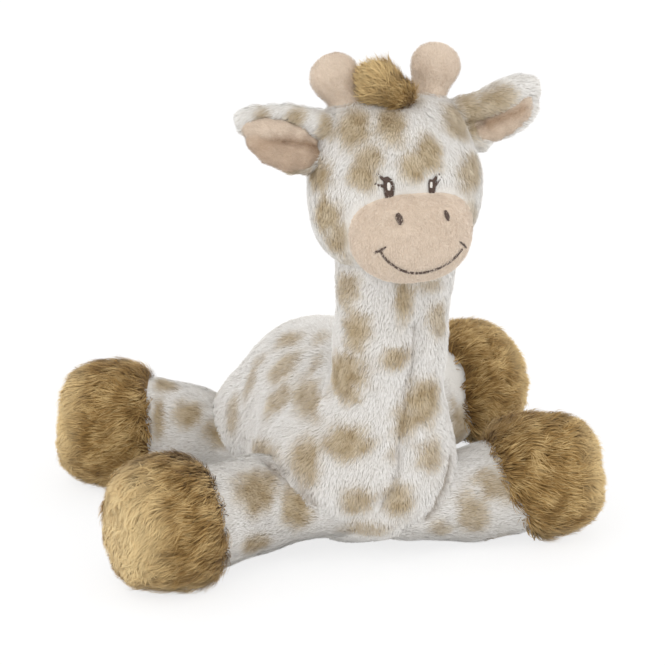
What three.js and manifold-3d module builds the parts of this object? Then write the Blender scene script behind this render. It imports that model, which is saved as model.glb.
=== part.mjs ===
// A plush giraffe that lies with its legs spread and its head up, in millimetres.
// The animal faces -Y, its left side is +X and Z is up. Every cover is a hollow piece with its own stuffing.
import * as THREE from "three";
import { mergeVertices } from "three/addons/utils/BufferGeometryUtils.js";
import Module from "manifold-3d";

const wasm = await Module();
wasm.setup();

// Clearances and walls
const SEWN_CLEARANCE = 0.35; // between two pieces that are sewn or laid together
const SEAT_CLEARANCE = 0.7; // between a ball root and the dish that it turns in
const OVERRUN = 12; // how far a cut runs past what it cuts
const FLAT_DEPTH = 0.5; // how deep a resting form is pressed flat
const PLUSH_WALL = 4; // short spotted plush with its pile
const PILE_WALL = 7; // long golden pile of hooves
const VELBOA_WALL = 2; // smooth cloth of muzzle, knobs and ear linings

// Torso: a long bean, wider at the rump, and the chest that rises from its front end.
// It lies a little to the left of the middle between the front hooves
const TORSO = {
  length: 160, halfWidth: 48.5, height: 89, widestHeight: 30, chestReach: 28, side: 6.5, yawDegrees: 5,
};
const torsoBluntShare = 0.72;
const torsoSwellShares = [0.9, 0.9, 0.95, 1, 1.02, 1.01, 0.96];
const CHEST = { height: 84, halfWidth: 38, halfDepth: 30, sink: 8 };
const chestBluntShare = 0.5;
const chestSwellShares = [0.9, 1, 1.04, 1, 0.95, 0.9, 0.84];

// Neck: leans forward and to its left from the ball at its base to the head
const NECK = {
  baseSide: 11, baseHeight: 74, baseRadius: 27.5, waistRadius: 25, topRadius: 26, domeBelowHead: 45,
};
const neckWaistShare = 0.5;
const HEAD_OFFSET = { side: 13, forward: 7, height: 181 };
const NECK_BEND_DEGREES = [-10, 20]; // backward, forward

// Head and the muzzle in front of it
const HEAD = { length: 76, halfWidth: 40, rise: 40, drop: 40 };
const headBluntShare = 0.9;
const headSwellShares = [1, 1];
const MUZZLE = { length: 50, halfWidth: 27.5, rise: 22.5, drop: 23.5, behindFace: 12, below: 12 };
const muzzleForward = HEAD.length / 2 - MUZZLE.behindFace;
const muzzleBluntShare = 0.85;
const muzzleSwellShares = [0.96, 1, 1];

// Face embroidery, raised threads that lie on the covers
const THREAD = { thickness: 0.8, width: 1.3 };
const EYE = { side: 10.2, above: 12, halfWidth: 2.8, halfHeight: 5.4, tiltDegrees: 12 };
const GLINT = { halfWidth: 1.2, halfHeight: 1.6 };
const LASH = { length: 8.5, width: 1.3, count: 3, firstDegrees: 22, stepDegrees: 22 };
const NOSTRIL = { side: 10.8, above: 11.5, halfWidth: 1.9, halfHeight: 2.7, tiltDegrees: 20 };
const SMILE = { halfWidth: 19, endAbove: -2.5, lowBelow: 12.5, tickLength: 5, tickTurnDegrees: 65 };

// Knobs on the crown, and the tuft of long pile between them
const KNOB = { baseSide: 17, baseBehind: 7, tipSide: 27, tipBehind: 15, tipAboveCrown: 18 };
const KNOB_TURNED = { stemRadius: 8, headRadius: 11.4, headLength: 19, footRadius: 9, sink: 8 };
const TUFT = { length: 30, halfWidth: 12.5, rise: 18, drop: 16, forward: 2, aboveCrown: 1 };
const tuftBluntShare = 0.8;
const tuftSwellShares = [0.75, 1, 0.95];

// Ears: a cupped plush leaf with a smooth lining, on a small ball root
const EAR = {
  sink: 6, behind: 0, above: 22, length: 41, halfWidth: 14.5, backThickness: 4.5, liningThickness: 2,
  cup: 5, rootRadius: 8.5, riseDegrees: 24, sweepDegrees: 6, leanDegrees: 20,
};
const earWidthShares = [0.42, 0.68, 0.9, 1, 0.96, 0.82, 0.58, 0.22];
const earLiningStartShare = 0.24;
const earLiningEndShare = 0.96;
const EAR_FLAP_DEGREES = [-20, 20];

// Legs and hooves. Each leg runs from the ball at its hip to the cuff where the hoof starts
const LEG = { rootRadius: 21.5, waistRadius: 20, cuffRadius: 23.5, length: 36, hipHeight: 24.5 };
const legWaistShare = 0.42;
const HOOF = { length: 47, radius: 30.5, cuffRadius: 25 };
const hoofCuffEndShare = 0.5;
const hoofAlongShares = [0, 0.07, 0.2, 0.42, 0.64, 0.82, 0.94, 1];
const hoofSwellShares = [0, 0.55, 0.88, 1, 0.98, 0.86, 0.55, 0];
const hoofRoomShoulderShare = 0.7;
const HIP = { frontSide: 37, frontBack: 0, rearSide: 40, rearBack: 95 };
const LEG_YAW_DEGREES = { front: 8, rear: -19 }; // forward of straight out
const LEG_LIFT_DEGREES = [-8, 22];

// Tail: a short plush roll with a tuft of long pile
const TAIL = { rootRadius: 6.5, radius: 5, length: 30, above: 44, sinkAtRump: 4, droopDegrees: 52 };
const TAIL_TUFT = { length: 26, radius: 8.5, overlap: 5 };
const tailTuftSwellShares = [0.45, 0.85, 1, 0.9, 0.6];
const TAIL_SWING_DEGREES = [-25, 25];

// The ground that resting forms are cut flat on
const groundSpreadShare = 4;

// Counts of facets
const SIDES = { torso: 20, limb: 16, hoof: 16, knob: 12, small: 8, seat: 14, inner: 10 };
const RINGS = { torso: 12, head: 12, muzzle: 10, tuft: 6, ear: 6, earRoot: 4, arc: 4, inner: 6, curve: 5 };
const RELIEF_POSES = 3; // poses of a moving piece that its seat is cut clear of

const UP = new THREE.Vector3(0, 0, 1);
const ALONG = new THREE.Vector3(0, 1, 0);
const radians = THREE.MathUtils.degToRad;

// Materials
const surface = (color) => new THREE.MeshStandardMaterial({ color, roughness: 0.95, metalness: 0 });
const spottedPlush = () => surface(0xded6cb);
const goldenPile = () => surface(0xb08f56);
const beigeVelboa = () => surface(0xd9c3ad);
const darkThread = () => surface(0x4a3a34);
const whiteThread = () => surface(0xf1efea);
const fibreFill = () => surface(0xf6f5f2);

// Turns a closed geometry into a solid that can be joined and cut, and puts it in its frame.
function solidOf(geometry, frame = new THREE.Matrix4()) {
  const bare = geometry.index ? geometry.toNonIndexed() : geometry.clone();
  for (const name of Object.keys(bare.attributes)) {
    if (name !== "position") bare.deleteAttribute(name);
  }
  const merged = mergeVertices(bare).applyMatrix4(frame);
  return new wasm.Manifold(
    new wasm.Mesh({
      numProp: 3,
      vertProperties: new Float32Array(merged.attributes.position.array),
      triVerts: new Uint32Array(merged.index.array),
    }),
  );
}

function meshOf(name, solid, material) {
  const { numProp, vertProperties, triVerts } = solid.getMesh();
  const positions = new Float32Array((vertProperties.length / numProp) * 3);
  for (let i = 0; i < positions.length / 3; i++) {
    positions.set(vertProperties.subarray(i * numProp, i * numProp + 3), i * 3);
  }
  const geometry = new THREE.BufferGeometry();
  geometry.setAttribute("position", new THREE.BufferAttribute(positions, 3));
  geometry.setIndex(new THREE.BufferAttribute(new Uint32Array(triVerts), 1));
  geometry.computeVertexNormals();
  const mesh = new THREE.Mesh(geometry, material);
  mesh.name = name;
  return mesh;
}

// A value read from a list of shares, spread evenly from 0 to 1.
function sampleShares(shares, at) {
  const place = at * (shares.length - 1);
  const below = Math.min(Math.floor(place), shares.length - 2);
  return THREE.MathUtils.lerp(shares[below], shares[below + 1], place - below);
}

// Joins rings of equal length into one closed skin; a ring of one point is a pole.
function loft(rings) {
  const points = rings.flat();
  const index = [];
  let start = 0;
  for (let i = 0; i + 1 < rings.length; i++) {
    const here = rings[i].length;
    const next = rings[i + 1].length;
    const sides = Math.max(here, next);
    for (let j = 0; j < sides; j++) {
      const k = (j + 1) % sides;
      if (here > 1) index.push(start + j, start + k, start + here + (next > 1 ? j : 0));
      if (next > 1) index.push(start + (here > 1 ? k : 0), start + here + k, start + here + j);
    }
    start += here;
  }
  const geometry = new THREE.BufferGeometry().setFromPoints(points);
  geometry.setIndex(index);
  return geometry;
}

// A rounded form along Y. Its girth follows the swell shares, and a blunt share under 1 fills its ends out.
function roundForm(size, bluntShare, swellShares, outerRings, outerSides, grow = 0) {
  const rings = grow < 0 ? RINGS.inner : outerRings;
  const sides = grow < 0 ? SIDES.inner : outerSides;
  const reach = size.length / 2 + grow;
  const ringList = [];
  for (let i = 0; i <= rings; i++) {
    const angle = (Math.PI * i) / rings;
    const girth = Math.sin(angle) ** bluntShare * sampleShares(swellShares, i / rings);
    const along = -reach * Math.cos(angle);
    if (i === 0 || i === rings) {
      ringList.push([new THREE.Vector3(0, along, 0)]);
      continue;
    }
    const ring = [];
    for (let j = 0; j < sides; j++) {
      const turn = (2 * Math.PI * (j + 0.5)) / sides;
      const tall = Math.sin(turn) > 0 ? size.rise : size.drop;
      const x = (size.halfWidth + grow) * girth * Math.cos(turn);
      const z = (tall + grow) * girth * Math.sin(turn);
      ring.push(new THREE.Vector3(-x, along, z));
    }
    ringList.push(ring);
  }
  return loft(ringList);
}

// A form turned about an axis: each profile point is its place along the axis and its radius.
function turnedForm(profile, sides, frame) {
  const points = profile.map(([along, radius]) => new THREE.Vector2(radius, along));
  return solidOf(new THREE.LatheGeometry(points, sides), frame);
}

// A frame whose Y axis points along a direction.
function frameAlong(origin, direction) {
  const turn = new THREE.Quaternion().setFromUnitVectors(ALONG, direction.clone().normalize());
  return new THREE.Matrix4().compose(origin, turn, new THREE.Vector3(1, 1, 1));
}

function frameAt(x, y, z) {
  return new THREE.Matrix4().makeTranslation(x, y, z);
}

// The turn of a piece about a joint.
function turnAbout(origin, axis, degrees) {
  const there = new THREE.Matrix4().makeTranslation(origin);
  const back = new THREE.Matrix4().makeTranslation(origin.clone().negate());
  const turn = new THREE.Matrix4().makeRotationAxis(axis.clone().normalize(), radians(degrees));
  return there.multiply(turn).multiply(back);
}

// A faceted ball round which no facet comes closer to the centre than the radius.
function ballAround(centre, radius) {
  const corner = radius / Math.cos(Math.PI / SIDES.seat) ** 2;
  const ball = new THREE.SphereGeometry(corner, SIDES.seat, SIDES.seat / 2);
  return solidOf(ball, frameAt(...centre));
}

// Everything under the ground, down past the lowest form.
function belowGround() {
  const side = groundSpreadShare * TORSO.length;
  const slab = new THREE.BoxGeometry(side, side, OVERRUN + FLAT_DEPTH);
  return solidOf(slab, frameAt(0, 0, -(OVERRUN + FLAT_DEPTH) / 2));
}

// The room that a moving limb needs: the seat of its ball, and its outer part in several poses of its joint.
function limbRoom(origin, ballRadius, frame, axis, [least, most], outerAt) {
  let room = ballAround(origin, ballRadius + SEAT_CLEARANCE);
  for (let i = 0; i < RELIEF_POSES; i++) {
    const degrees = THREE.MathUtils.lerp(least, most, i / (RELIEF_POSES - 1));
    room = room.add(outerAt(turnAbout(origin, axis, degrees).multiply(frame)));
  }
  return room;
}

// The arc of a ball root, from its pole behind the joint to where the limb leaves it.
function rootArc(radius, waistRadius, grow = 0) {
  const leave = Math.PI - Math.asin(waistRadius / radius);
  const points = [];
  for (let i = 0; i <= RINGS.arc; i++) {
    const angle = (leave * i) / RINGS.arc;
    points.push([-(radius + grow) * Math.cos(angle), (radius + grow) * Math.sin(angle)]);
  }
  points[0][1] = 0;
  return points;
}

// Legs and hooves
const legNames = ["left_front", "right_front", "left_rear", "right_rear"];

function legPlace(name) {
  const side = name.startsWith("left") ? 1 : -1;
  const front = name.endsWith("front");
  const yaw = radians(front ? LEG_YAW_DEGREES.front : LEG_YAW_DEGREES.rear);
  const hip = new THREE.Vector3(
    side * (front ? HIP.frontSide : HIP.rearSide),
    front ? HIP.frontBack : HIP.rearBack,
    LEG.hipHeight,
  );
  const toHoof = LEG.length + HOOF.length / 2;
  const climb = HOOF.radius - FLAT_DEPTH - LEG.hipHeight;
  const flat = new THREE.Vector3(side * Math.cos(yaw), -Math.sin(yaw), 0);
  const direction = flat.clone().multiplyScalar(toHoof).add(new THREE.Vector3(0, 0, climb)).normalize();
  const axis = new THREE.Vector3().crossVectors(flat, UP); // a positive turn lifts the hoof
  return { hip, direction, axis, frame: frameAlong(hip, direction) };
}

function legProfile() {
  const cuff = LEG.length - SEWN_CLEARANCE / 2;
  return [
    ...rootArc(LEG.rootRadius, LEG.waistRadius),
    [LEG.length * legWaistShare, LEG.waistRadius],
    [cuff, LEG.cuffRadius],
    [cuff, 0],
  ];
}

function boreProfile(from, to, startRadius, endRadius) {
  return [[from, 0], [from, startRadius], [to, endRadius], [to, 0]];
}

function legPieces(name) {
  const { frame } = legPlace(name);
  const whole = turnedForm(legProfile(), SIDES.limb, frame);
  const ends = [-LEG.rootRadius - OVERRUN, LEG.length + OVERRUN];
  const bore = (wall) => {
    const start = LEG.waistRadius - wall;
    return turnedForm(boreProfile(...ends, start, LEG.cuffRadius - wall), SIDES.inner, frame);
  };
  return [
    meshOf(`${name}_leg_cover`, whole.subtract(bore(PLUSH_WALL)), spottedPlush()),
    meshOf(`${name}_leg_stuffing`, whole.intersect(bore(PLUSH_WALL + SEWN_CLEARANCE)), fibreFill()),
  ];
}

function hoofProfile() {
  const start = LEG.length + SEWN_CLEARANCE / 2;
  const points = hoofAlongShares.map((share, i) => {
    const least = share < hoofCuffEndShare ? HOOF.cuffRadius : 0;
    return [start + share * HOOF.length, least + (HOOF.radius - least) * hoofSwellShares[i]];
  });
  return [[start, 0], ...points];
}

function hoofPieces(name) {
  const { frame } = legPlace(name);
  const whole = turnedForm(hoofProfile(), SIDES.hoof, frame).subtract(belowGround());
  const room = (wall) => {
    const middle = LEG.length + HOOF.length / 2;
    const end = LEG.length + HOOF.length - wall;
    const profile = [
      [LEG.length - OVERRUN, 0],
      [LEG.length - OVERRUN, HOOF.cuffRadius - wall],
      [middle, HOOF.radius - wall],
      [THREE.MathUtils.lerp(middle, end, hoofRoomShoulderShare), HOOF.cuffRadius - wall],
      [end, 0],
    ];
    return turnedForm(profile, SIDES.inner, frame);
  };
  return [
    meshOf(`${name}_hoof_cover`, whole.subtract(room(PILE_WALL)), goldenPile()),
    meshOf(`${name}_hoof_stuffing`, whole.intersect(room(PILE_WALL + SEWN_CLEARANCE)), fibreFill()),
  ];
}

function legRoom(name) {
  const { hip, axis, frame } = legPlace(name);
  const radii = [LEG.waistRadius + SEAT_CLEARANCE, LEG.cuffRadius + SEAT_CLEARANCE];
  const outer = boreProfile(0, LEG.length, ...radii);
  return limbRoom(hip, LEG.rootRadius, frame, axis, LEG_LIFT_DEGREES, (pose) => {
    return turnedForm(outer, SIDES.inner, pose);
  });
}

// Neck
const neckBase = new THREE.Vector3(NECK.baseSide, 0, NECK.baseHeight);
const headCentre = new THREE.Vector3(HEAD_OFFSET.side, -HEAD_OFFSET.forward, HEAD_OFFSET.height);
const neckDirection = headCentre.clone().sub(neckBase).normalize();
const neckFrame = frameAlong(neckBase, neckDirection);
const neckToDome = neckBase.distanceTo(headCentre) - NECK.domeBelowHead;
const neckBendAxis = new THREE.Vector3(1, 0, 0); // a positive turn bends the neck forward

function neckProfile(grow = 0) {
  const waist = neckToDome * neckWaistShare;
  const dome = [];
  for (let i = 0; i <= RINGS.arc; i++) {
    const angle = (Math.PI * i) / (2 * RINGS.arc);
    const radius = (NECK.topRadius + grow) * Math.cos(angle);
    dome.push([neckToDome + (NECK.topRadius + grow) * Math.sin(angle), i < RINGS.arc ? radius : 0]);
  }
  return [
    ...rootArc(NECK.baseRadius, (NECK.baseRadius + NECK.waistRadius) / 2, grow),
    [waist, NECK.waistRadius + grow],
    ...dome,
  ];
}

function neckPieces() {
  const whole = turnedForm(neckProfile(), SIDES.torso, neckFrame);
  const ends = [-NECK.baseRadius - OVERRUN, neckToDome + NECK.topRadius + OVERRUN];
  const bore = (wall) => {
    const radius = NECK.waistRadius - wall;
    return turnedForm(boreProfile(...ends, radius, radius), SIDES.inner, neckFrame);
  };
  return [
    meshOf("neck_cover", whole.subtract(bore(PLUSH_WALL)), spottedPlush()),
    meshOf("neck_stuffing", whole.intersect(bore(PLUSH_WALL + SEWN_CLEARANCE)), fibreFill()),
  ];
}

function neckRoom() {
  const radius = (NECK.baseRadius + NECK.waistRadius) / 2 + SEAT_CLEARANCE;
  const outer = boreProfile(0, neckToDome / 2, radius, radius);
  return limbRoom(neckBase, NECK.baseRadius, neckFrame, neckBendAxis, NECK_BEND_DEGREES, (pose) => {
    return turnedForm(outer, SIDES.inner, pose);
  });
}

// Torso
const torsoFrame = frameAt(TORSO.side, TORSO.length / 2 - TORSO.chestReach, TORSO.widestHeight).multiply(
  new THREE.Matrix4().makeRotationZ(radians(TORSO.yawDegrees)),
);

function torsoForm(grow = 0) {
  const lowestFacetShare = Math.cos(Math.PI / SIDES.torso);
  const size = {
    length: TORSO.length,
    halfWidth: TORSO.halfWidth,
    rise: TORSO.height - TORSO.widestHeight,
    drop: (TORSO.widestHeight + FLAT_DEPTH) / lowestFacetShare,
  };
  const bean = roundForm(size, torsoBluntShare, torsoSwellShares, RINGS.torso, SIDES.torso, grow);
  const chestSize = {
    length: CHEST.height - CHEST.sink,
    halfWidth: CHEST.halfWidth,
    rise: CHEST.halfDepth,
    drop: CHEST.halfDepth,
  };
  const chest = roundForm(chestSize, chestBluntShare, chestSwellShares, RINGS.torso, SIDES.torso, grow);
  const stand = frameAt(NECK.baseSide, 0, (CHEST.height + CHEST.sink) / 2).multiply(
    new THREE.Matrix4().makeRotationX(Math.PI / 2),
  );
  return solidOf(bean, torsoFrame).add(solidOf(chest, stand));
}

function torsoPieces() {
  const tail = tailPlace();
  const moving = legNames
    .map(legRoom)
    .reduce((sum, room) => sum.add(room), neckRoom())
    .add(tailRoom(tail));
  const cover = torsoForm().subtract(torsoForm(-PLUSH_WALL)).subtract(moving).subtract(belowGround());
  const stuffing = torsoForm(-PLUSH_WALL - SEWN_CLEARANCE).subtract(moving);
  return [
    meshOf("torso_cover", cover, spottedPlush()),
    meshOf("torso_stuffing", stuffing, fibreFill()),
  ];
}

// Tail
function tailPlace() {
  const back = TORSO.length / 2 - TAIL.sinkAtRump;
  const root = new THREE.Vector3(0, back, TAIL.above - TORSO.widestHeight).applyMatrix4(torsoFrame);
  const droop = radians(TAIL.droopDegrees);
  const direction = new THREE.Vector3(0, Math.cos(droop), -Math.sin(droop)).transformDirection(torsoFrame);
  return { root, direction, frame: frameAlong(root, direction) };
}

function tailProfile(grow = 0) {
  return [
    ...rootArc(TAIL.rootRadius, TAIL.radius, grow),
    [TAIL.length + grow, TAIL.radius + grow],
    [TAIL.length + grow, 0],
  ];
}

function tailRoom({ root, frame }) {
  const radius = TAIL.radius + SEAT_CLEARANCE;
  const outer = boreProfile(0, TAIL.length, radius, radius);
  return limbRoom(root, TAIL.rootRadius, frame, UP, TAIL_SWING_DEGREES, (pose) => {
    return turnedForm(outer, SIDES.small, pose);
  });
}

function tailPieces() {
  const { frame } = tailPlace();
  const roll = turnedForm(tailProfile(), SIDES.small, frame);
  const { length, radius, overlap } = TAIL_TUFT;
  const size = { length, halfWidth: radius, rise: radius, drop: radius };
  const tuftCentre = frame.clone().multiply(frameAt(0, TAIL.length - overlap + length / 2, 0));
  const tuft = roundForm(size, tuftBluntShare, tailTuftSwellShares, RINGS.tuft, SIDES.small);
  const socket = turnedForm(tailProfile(SEWN_CLEARANCE), SIDES.small, frame);
  return [
    meshOf("tail_cover", roll, spottedPlush()),
    meshOf("tail_tuft", solidOf(tuft, tuftCentre).subtract(socket), goldenPile()),
  ];
}

// Head
const headAt = (x, y, z) => frameAt(headCentre.x + x, headCentre.y + y, headCentre.z + z);

function headForm(grow = 0) {
  const form = roundForm(HEAD, headBluntShare, headSwellShares, RINGS.head, SIDES.torso, grow);
  return solidOf(form, headAt(0, 0, 0));
}

function muzzleForm(grow = 0) {
  const form = roundForm(MUZZLE, muzzleBluntShare, muzzleSwellShares, RINGS.muzzle, SIDES.hoof, grow);
  return solidOf(form, headAt(0, -muzzleForward, -MUZZLE.below));
}

function neckSeat() {
  return turnedForm(neckProfile(SEAT_CLEARANCE), SIDES.torso, neckFrame);
}

function headPieces() {
  const ears = earRoom(1).add(earRoom(-1));
  const cover = headForm().subtract(headForm(-PLUSH_WALL)).subtract(neckSeat()).subtract(ears);
  const stuffing = headForm(-PLUSH_WALL - SEWN_CLEARANCE).subtract(neckSeat()).subtract(ears);
  return [
    meshOf("head_cover", cover, spottedPlush()),
    meshOf("head_stuffing", stuffing, fibreFill()),
  ];
}

function muzzlePieces() {
  const taken = headForm(SEWN_CLEARANCE).add(neckSeat());
  const cover = muzzleForm().subtract(muzzleForm(-VELBOA_WALL)).subtract(taken);
  const stuffing = muzzleForm(-VELBOA_WALL - SEWN_CLEARANCE).subtract(taken);
  return [
    meshOf("muzzle_cover", cover, beigeVelboa()),
    meshOf("muzzle_stuffing", stuffing, fibreFill()),
  ];
}

// Embroidery: outlines pushed forward out of the face keep only a thin layer on the cover.
function threadOn(form, outlines, x, z, { forward = 0, hole = null } = {}) {
  const depth = HEAD.length + MUZZLE.length;
  const facing = headAt(x, -forward, z).multiply(new THREE.Matrix4().makeRotationX(Math.PI / 2));
  const prism = (outline) => {
    const settings = { depth, bevelEnabled: false, curveSegments: RINGS.curve };
    const block = new THREE.ExtrudeGeometry(outline, settings);
    return solidOf(block, facing);
  };
  const layer = form(SEWN_CLEARANCE + THREAD.thickness).subtract(form(SEWN_CLEARANCE));
  const blocks = outlines.map(prism).reduce((sum, block) => sum.add(block));
  return (hole ? blocks.subtract(prism(hole)) : blocks).intersect(layer);
}

function ovalOutline(halfWidth, halfHeight, tiltDegrees) {
  const shape = new THREE.Shape();
  shape.absellipse(0, 0, halfWidth, halfHeight, 0, 2 * Math.PI, false, radians(tiltDegrees));
  return shape;
}

function directionAt(degrees) {
  return new THREE.Vector2(Math.cos(radians(degrees)), Math.sin(radians(degrees)));
}

// A straight stroke of thread from a point, with square ends.
function strokeOutline(x, z, degrees, length, width) {
  const along = directionAt(degrees);
  const across = new THREE.Vector2(-along.y, along.x).multiplyScalar(width / 2);
  const start = new THREE.Vector2(x, z);
  const end = start.clone().addScaledVector(along, length);
  return new THREE.Shape([
    start.clone().sub(across),
    end.clone().sub(across),
    end.clone().add(across),
    start.clone().add(across),
  ]);
}

function smileOutline() {
  const middle = (SMILE.endAbove + SMILE.lowBelow) / 2;
  const radius = (SMILE.halfWidth ** 2 + (2 * middle) ** 2) / (4 * middle);
  const half = Math.asin(SMILE.halfWidth / radius);
  const centre = radius - SMILE.lowBelow;
  const [first, last] = [-Math.PI / 2 - half, -Math.PI / 2 + half];
  const shape = new THREE.Shape();
  shape.absarc(0, centre, radius + THREAD.width / 2, first, last, false);
  shape.absarc(0, centre, radius - THREAD.width / 2, last, first, true);
  return shape;
}

function eyePieces(name, side) {
  const oval = (wide, high) => ovalOutline(wide, high, -side * EYE.tiltDegrees);
  const hole = oval(GLINT.halfWidth + SEWN_CLEARANCE, GLINT.halfHeight + SEWN_CLEARANCE);
  const outlines = [oval(EYE.halfWidth, EYE.halfHeight)];
  for (let i = 0; i < LASH.count; i++) {
    const fromUpright = LASH.firstDegrees + i * LASH.stepDegrees;
    outlines.push(strokeOutline(0, 0, 90 - side * fromUpright, LASH.length, LASH.width));
  }
  const place = [side * EYE.side, EYE.above];
  const threads = threadOn(headForm, outlines, ...place, { hole }).subtract(muzzleForm(SEWN_CLEARANCE));
  const glint = threadOn(headForm, [oval(GLINT.halfWidth, GLINT.halfHeight)], ...place);
  return [
    meshOf(`${name}_eye_embroidery`, threads, darkThread()),
    meshOf(`${name}_eye_glint`, glint, whiteThread()),
  ];
}

function nostrilPiece(name, side) {
  const oval = ovalOutline(NOSTRIL.halfWidth, NOSTRIL.halfHeight, side * NOSTRIL.tiltDegrees);
  const place = [side * NOSTRIL.side, NOSTRIL.above - MUZZLE.below];
  const thread = threadOn(muzzleForm, [oval], ...place, { forward: muzzleForward });
  return meshOf(`${name}_nostril_embroidery`, thread, darkThread());
}

function smilePiece() {
  const outlines = [smileOutline()];
  for (const side of [1, -1]) {
    const turn = 90 + side * SMILE.tickTurnDegrees;
    const middle = new THREE.Vector2(side * SMILE.halfWidth, SMILE.endAbove);
    const start = middle.addScaledVector(directionAt(turn), -SMILE.tickLength / 2);
    outlines.push(strokeOutline(start.x, start.y, turn, SMILE.tickLength, THREAD.width));
  }
  const thread = threadOn(muzzleForm, outlines, 0, -MUZZLE.below, { forward: muzzleForward });
  return meshOf("smile_embroidery", thread.subtract(headForm(SEWN_CLEARANCE)), darkThread());
}

// Knobs on the crown
function knobForm(side, grow = 0) {
  const { stemRadius, headRadius, headLength, footRadius, sink } = KNOB_TURNED;
  const foot = new THREE.Vector3(side * KNOB.baseSide, KNOB.baseBehind, HEAD.rise - sink).add(headCentre);
  const tip = new THREE.Vector3(side * KNOB.tipSide, KNOB.tipBehind, HEAD.rise + KNOB.tipAboveCrown);
  tip.add(headCentre);
  const length = foot.distanceTo(tip);
  const middle = length - headLength / 2;
  const profile = [[0, 0], [0, footRadius + grow], [length - headLength - grow / 2, stemRadius + grow]];
  for (let i = 1; i <= RINGS.arc + 1; i++) {
    const angle = THREE.MathUtils.lerp(-Math.PI / 3, Math.PI / 2, i / (RINGS.arc + 1));
    const radius = i <= RINGS.arc ? (headRadius + grow) * Math.cos(angle) : 0;
    profile.push([middle + (headLength / 2 + grow) * Math.sin(angle), radius]);
  }
  const sides = grow < 0 ? SIDES.small : SIDES.knob;
  return turnedForm(profile, sides, frameAlong(foot, tip.clone().sub(foot)));
}

function knobPieces(name, side) {
  const taken = headForm(SEWN_CLEARANCE);
  const cover = knobForm(side).subtract(knobForm(side, -VELBOA_WALL)).subtract(taken);
  const stuffing = knobForm(side, -VELBOA_WALL - SEWN_CLEARANCE).subtract(taken);
  return [
    meshOf(`${name}_knob_cover`, cover, beigeVelboa()),
    meshOf(`${name}_knob_stuffing`, stuffing, fibreFill()),
  ];
}

function tuftPiece() {
  const form = roundForm(TUFT, tuftBluntShare, tuftSwellShares, RINGS.tuft, SIDES.knob);
  const knobs = knobForm(1, SEWN_CLEARANCE).add(knobForm(-1, SEWN_CLEARANCE));
  const taken = headForm(SEWN_CLEARANCE).add(knobs);
  const tuft = solidOf(form, headAt(0, -TUFT.forward, HEAD.rise + TUFT.aboveCrown));
  return meshOf("crown_tuft", tuft.subtract(taken), goldenPile());
}

// Ears
function earPlace(side) {
  const root = new THREE.Vector3(side * (HEAD.halfWidth - EAR.sink), EAR.behind, EAR.above).add(headCentre);
  const rise = radians(EAR.riseDegrees);
  const sweep = radians(EAR.sweepDegrees);
  const outward = side * Math.cos(rise) * Math.cos(sweep);
  const out = new THREE.Vector3(outward, Math.cos(rise) * Math.sin(sweep), Math.sin(rise));
  const front = new THREE.Vector3(0, -1, 0).applyAxisAngle(out, side * radians(EAR.leanDegrees));
  front.addScaledVector(out, -front.dot(out)).normalize();
  const wide = new THREE.Vector3().crossVectors(out, front);
  const frame = new THREE.Matrix4().makeBasis(out, front, wide).setPosition(root);
  return { root, frame, axis: front.clone().multiplyScalar(-side) }; // a positive turn lifts the tip
}

// Half of a leaf-shaped pad, in front of its middle surface or behind it, cupped towards the front.
function leafHalf(facing, thickness, from, to, grow = 0) {
  const across = 2 * RINGS.arc;
  const rings = [];
  for (let i = 0; i <= RINGS.ear; i++) {
    const share = THREE.MathUtils.lerp(from, to, i / RINGS.ear);
    const half = EAR.halfWidth * sampleShares(earWidthShares, share) + grow;
    const out = share * EAR.length + grow * Math.sign(share - from);
    const cupAt = (v) => EAR.cup * v * v * (half / EAR.halfWidth);
    const base = facing * (SEWN_CLEARANCE / 2) - facing * grow;
    const domed = [];
    const plain = [];
    for (let j = 0; j <= across; j++) {
      const v = -Math.cos((Math.PI * j) / across);
      const dome = facing * (thickness + 2 * grow) * Math.sqrt(Math.max(0, 1 - v * v));
      domed.push(new THREE.Vector3(out, cupAt(v) + base + dome, v * half));
      if (j > 0 && j < across) plain.unshift(new THREE.Vector3(out, cupAt(v) + base, v * half));
    }
    const ring = [...domed, ...plain];
    rings.push(facing > 0 ? ring : ring.reverse());
  }
  const middle = (ring) => {
    const sum = ring.reduce((total, point) => total.add(point), new THREE.Vector3());
    return [sum.divideScalar(ring.length)];
  };
  return loft([middle(rings[0]), ...rings, middle(rings.at(-1))]);
}

function earPieces(name, side) {
  const { root, frame } = earPlace(side);
  const leaf = solidOf(leafHalf(-1, EAR.backThickness, 0, 1), frame);
  const ball = new THREE.SphereGeometry(EAR.rootRadius, SIDES.knob, SIDES.knob / 2);
  const back = leaf.add(solidOf(ball, frame));
  const lining = leafHalf(1, EAR.liningThickness, earLiningStartShare, earLiningEndShare);
  return [
    meshOf(`${name}_ear_back`, back, spottedPlush()),
    meshOf(
      `${name}_ear_lining`,
      solidOf(lining, frame).subtract(ballAround(root, EAR.rootRadius + SEWN_CLEARANCE)),
      beigeVelboa(),
    ),
  ];
}

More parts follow.
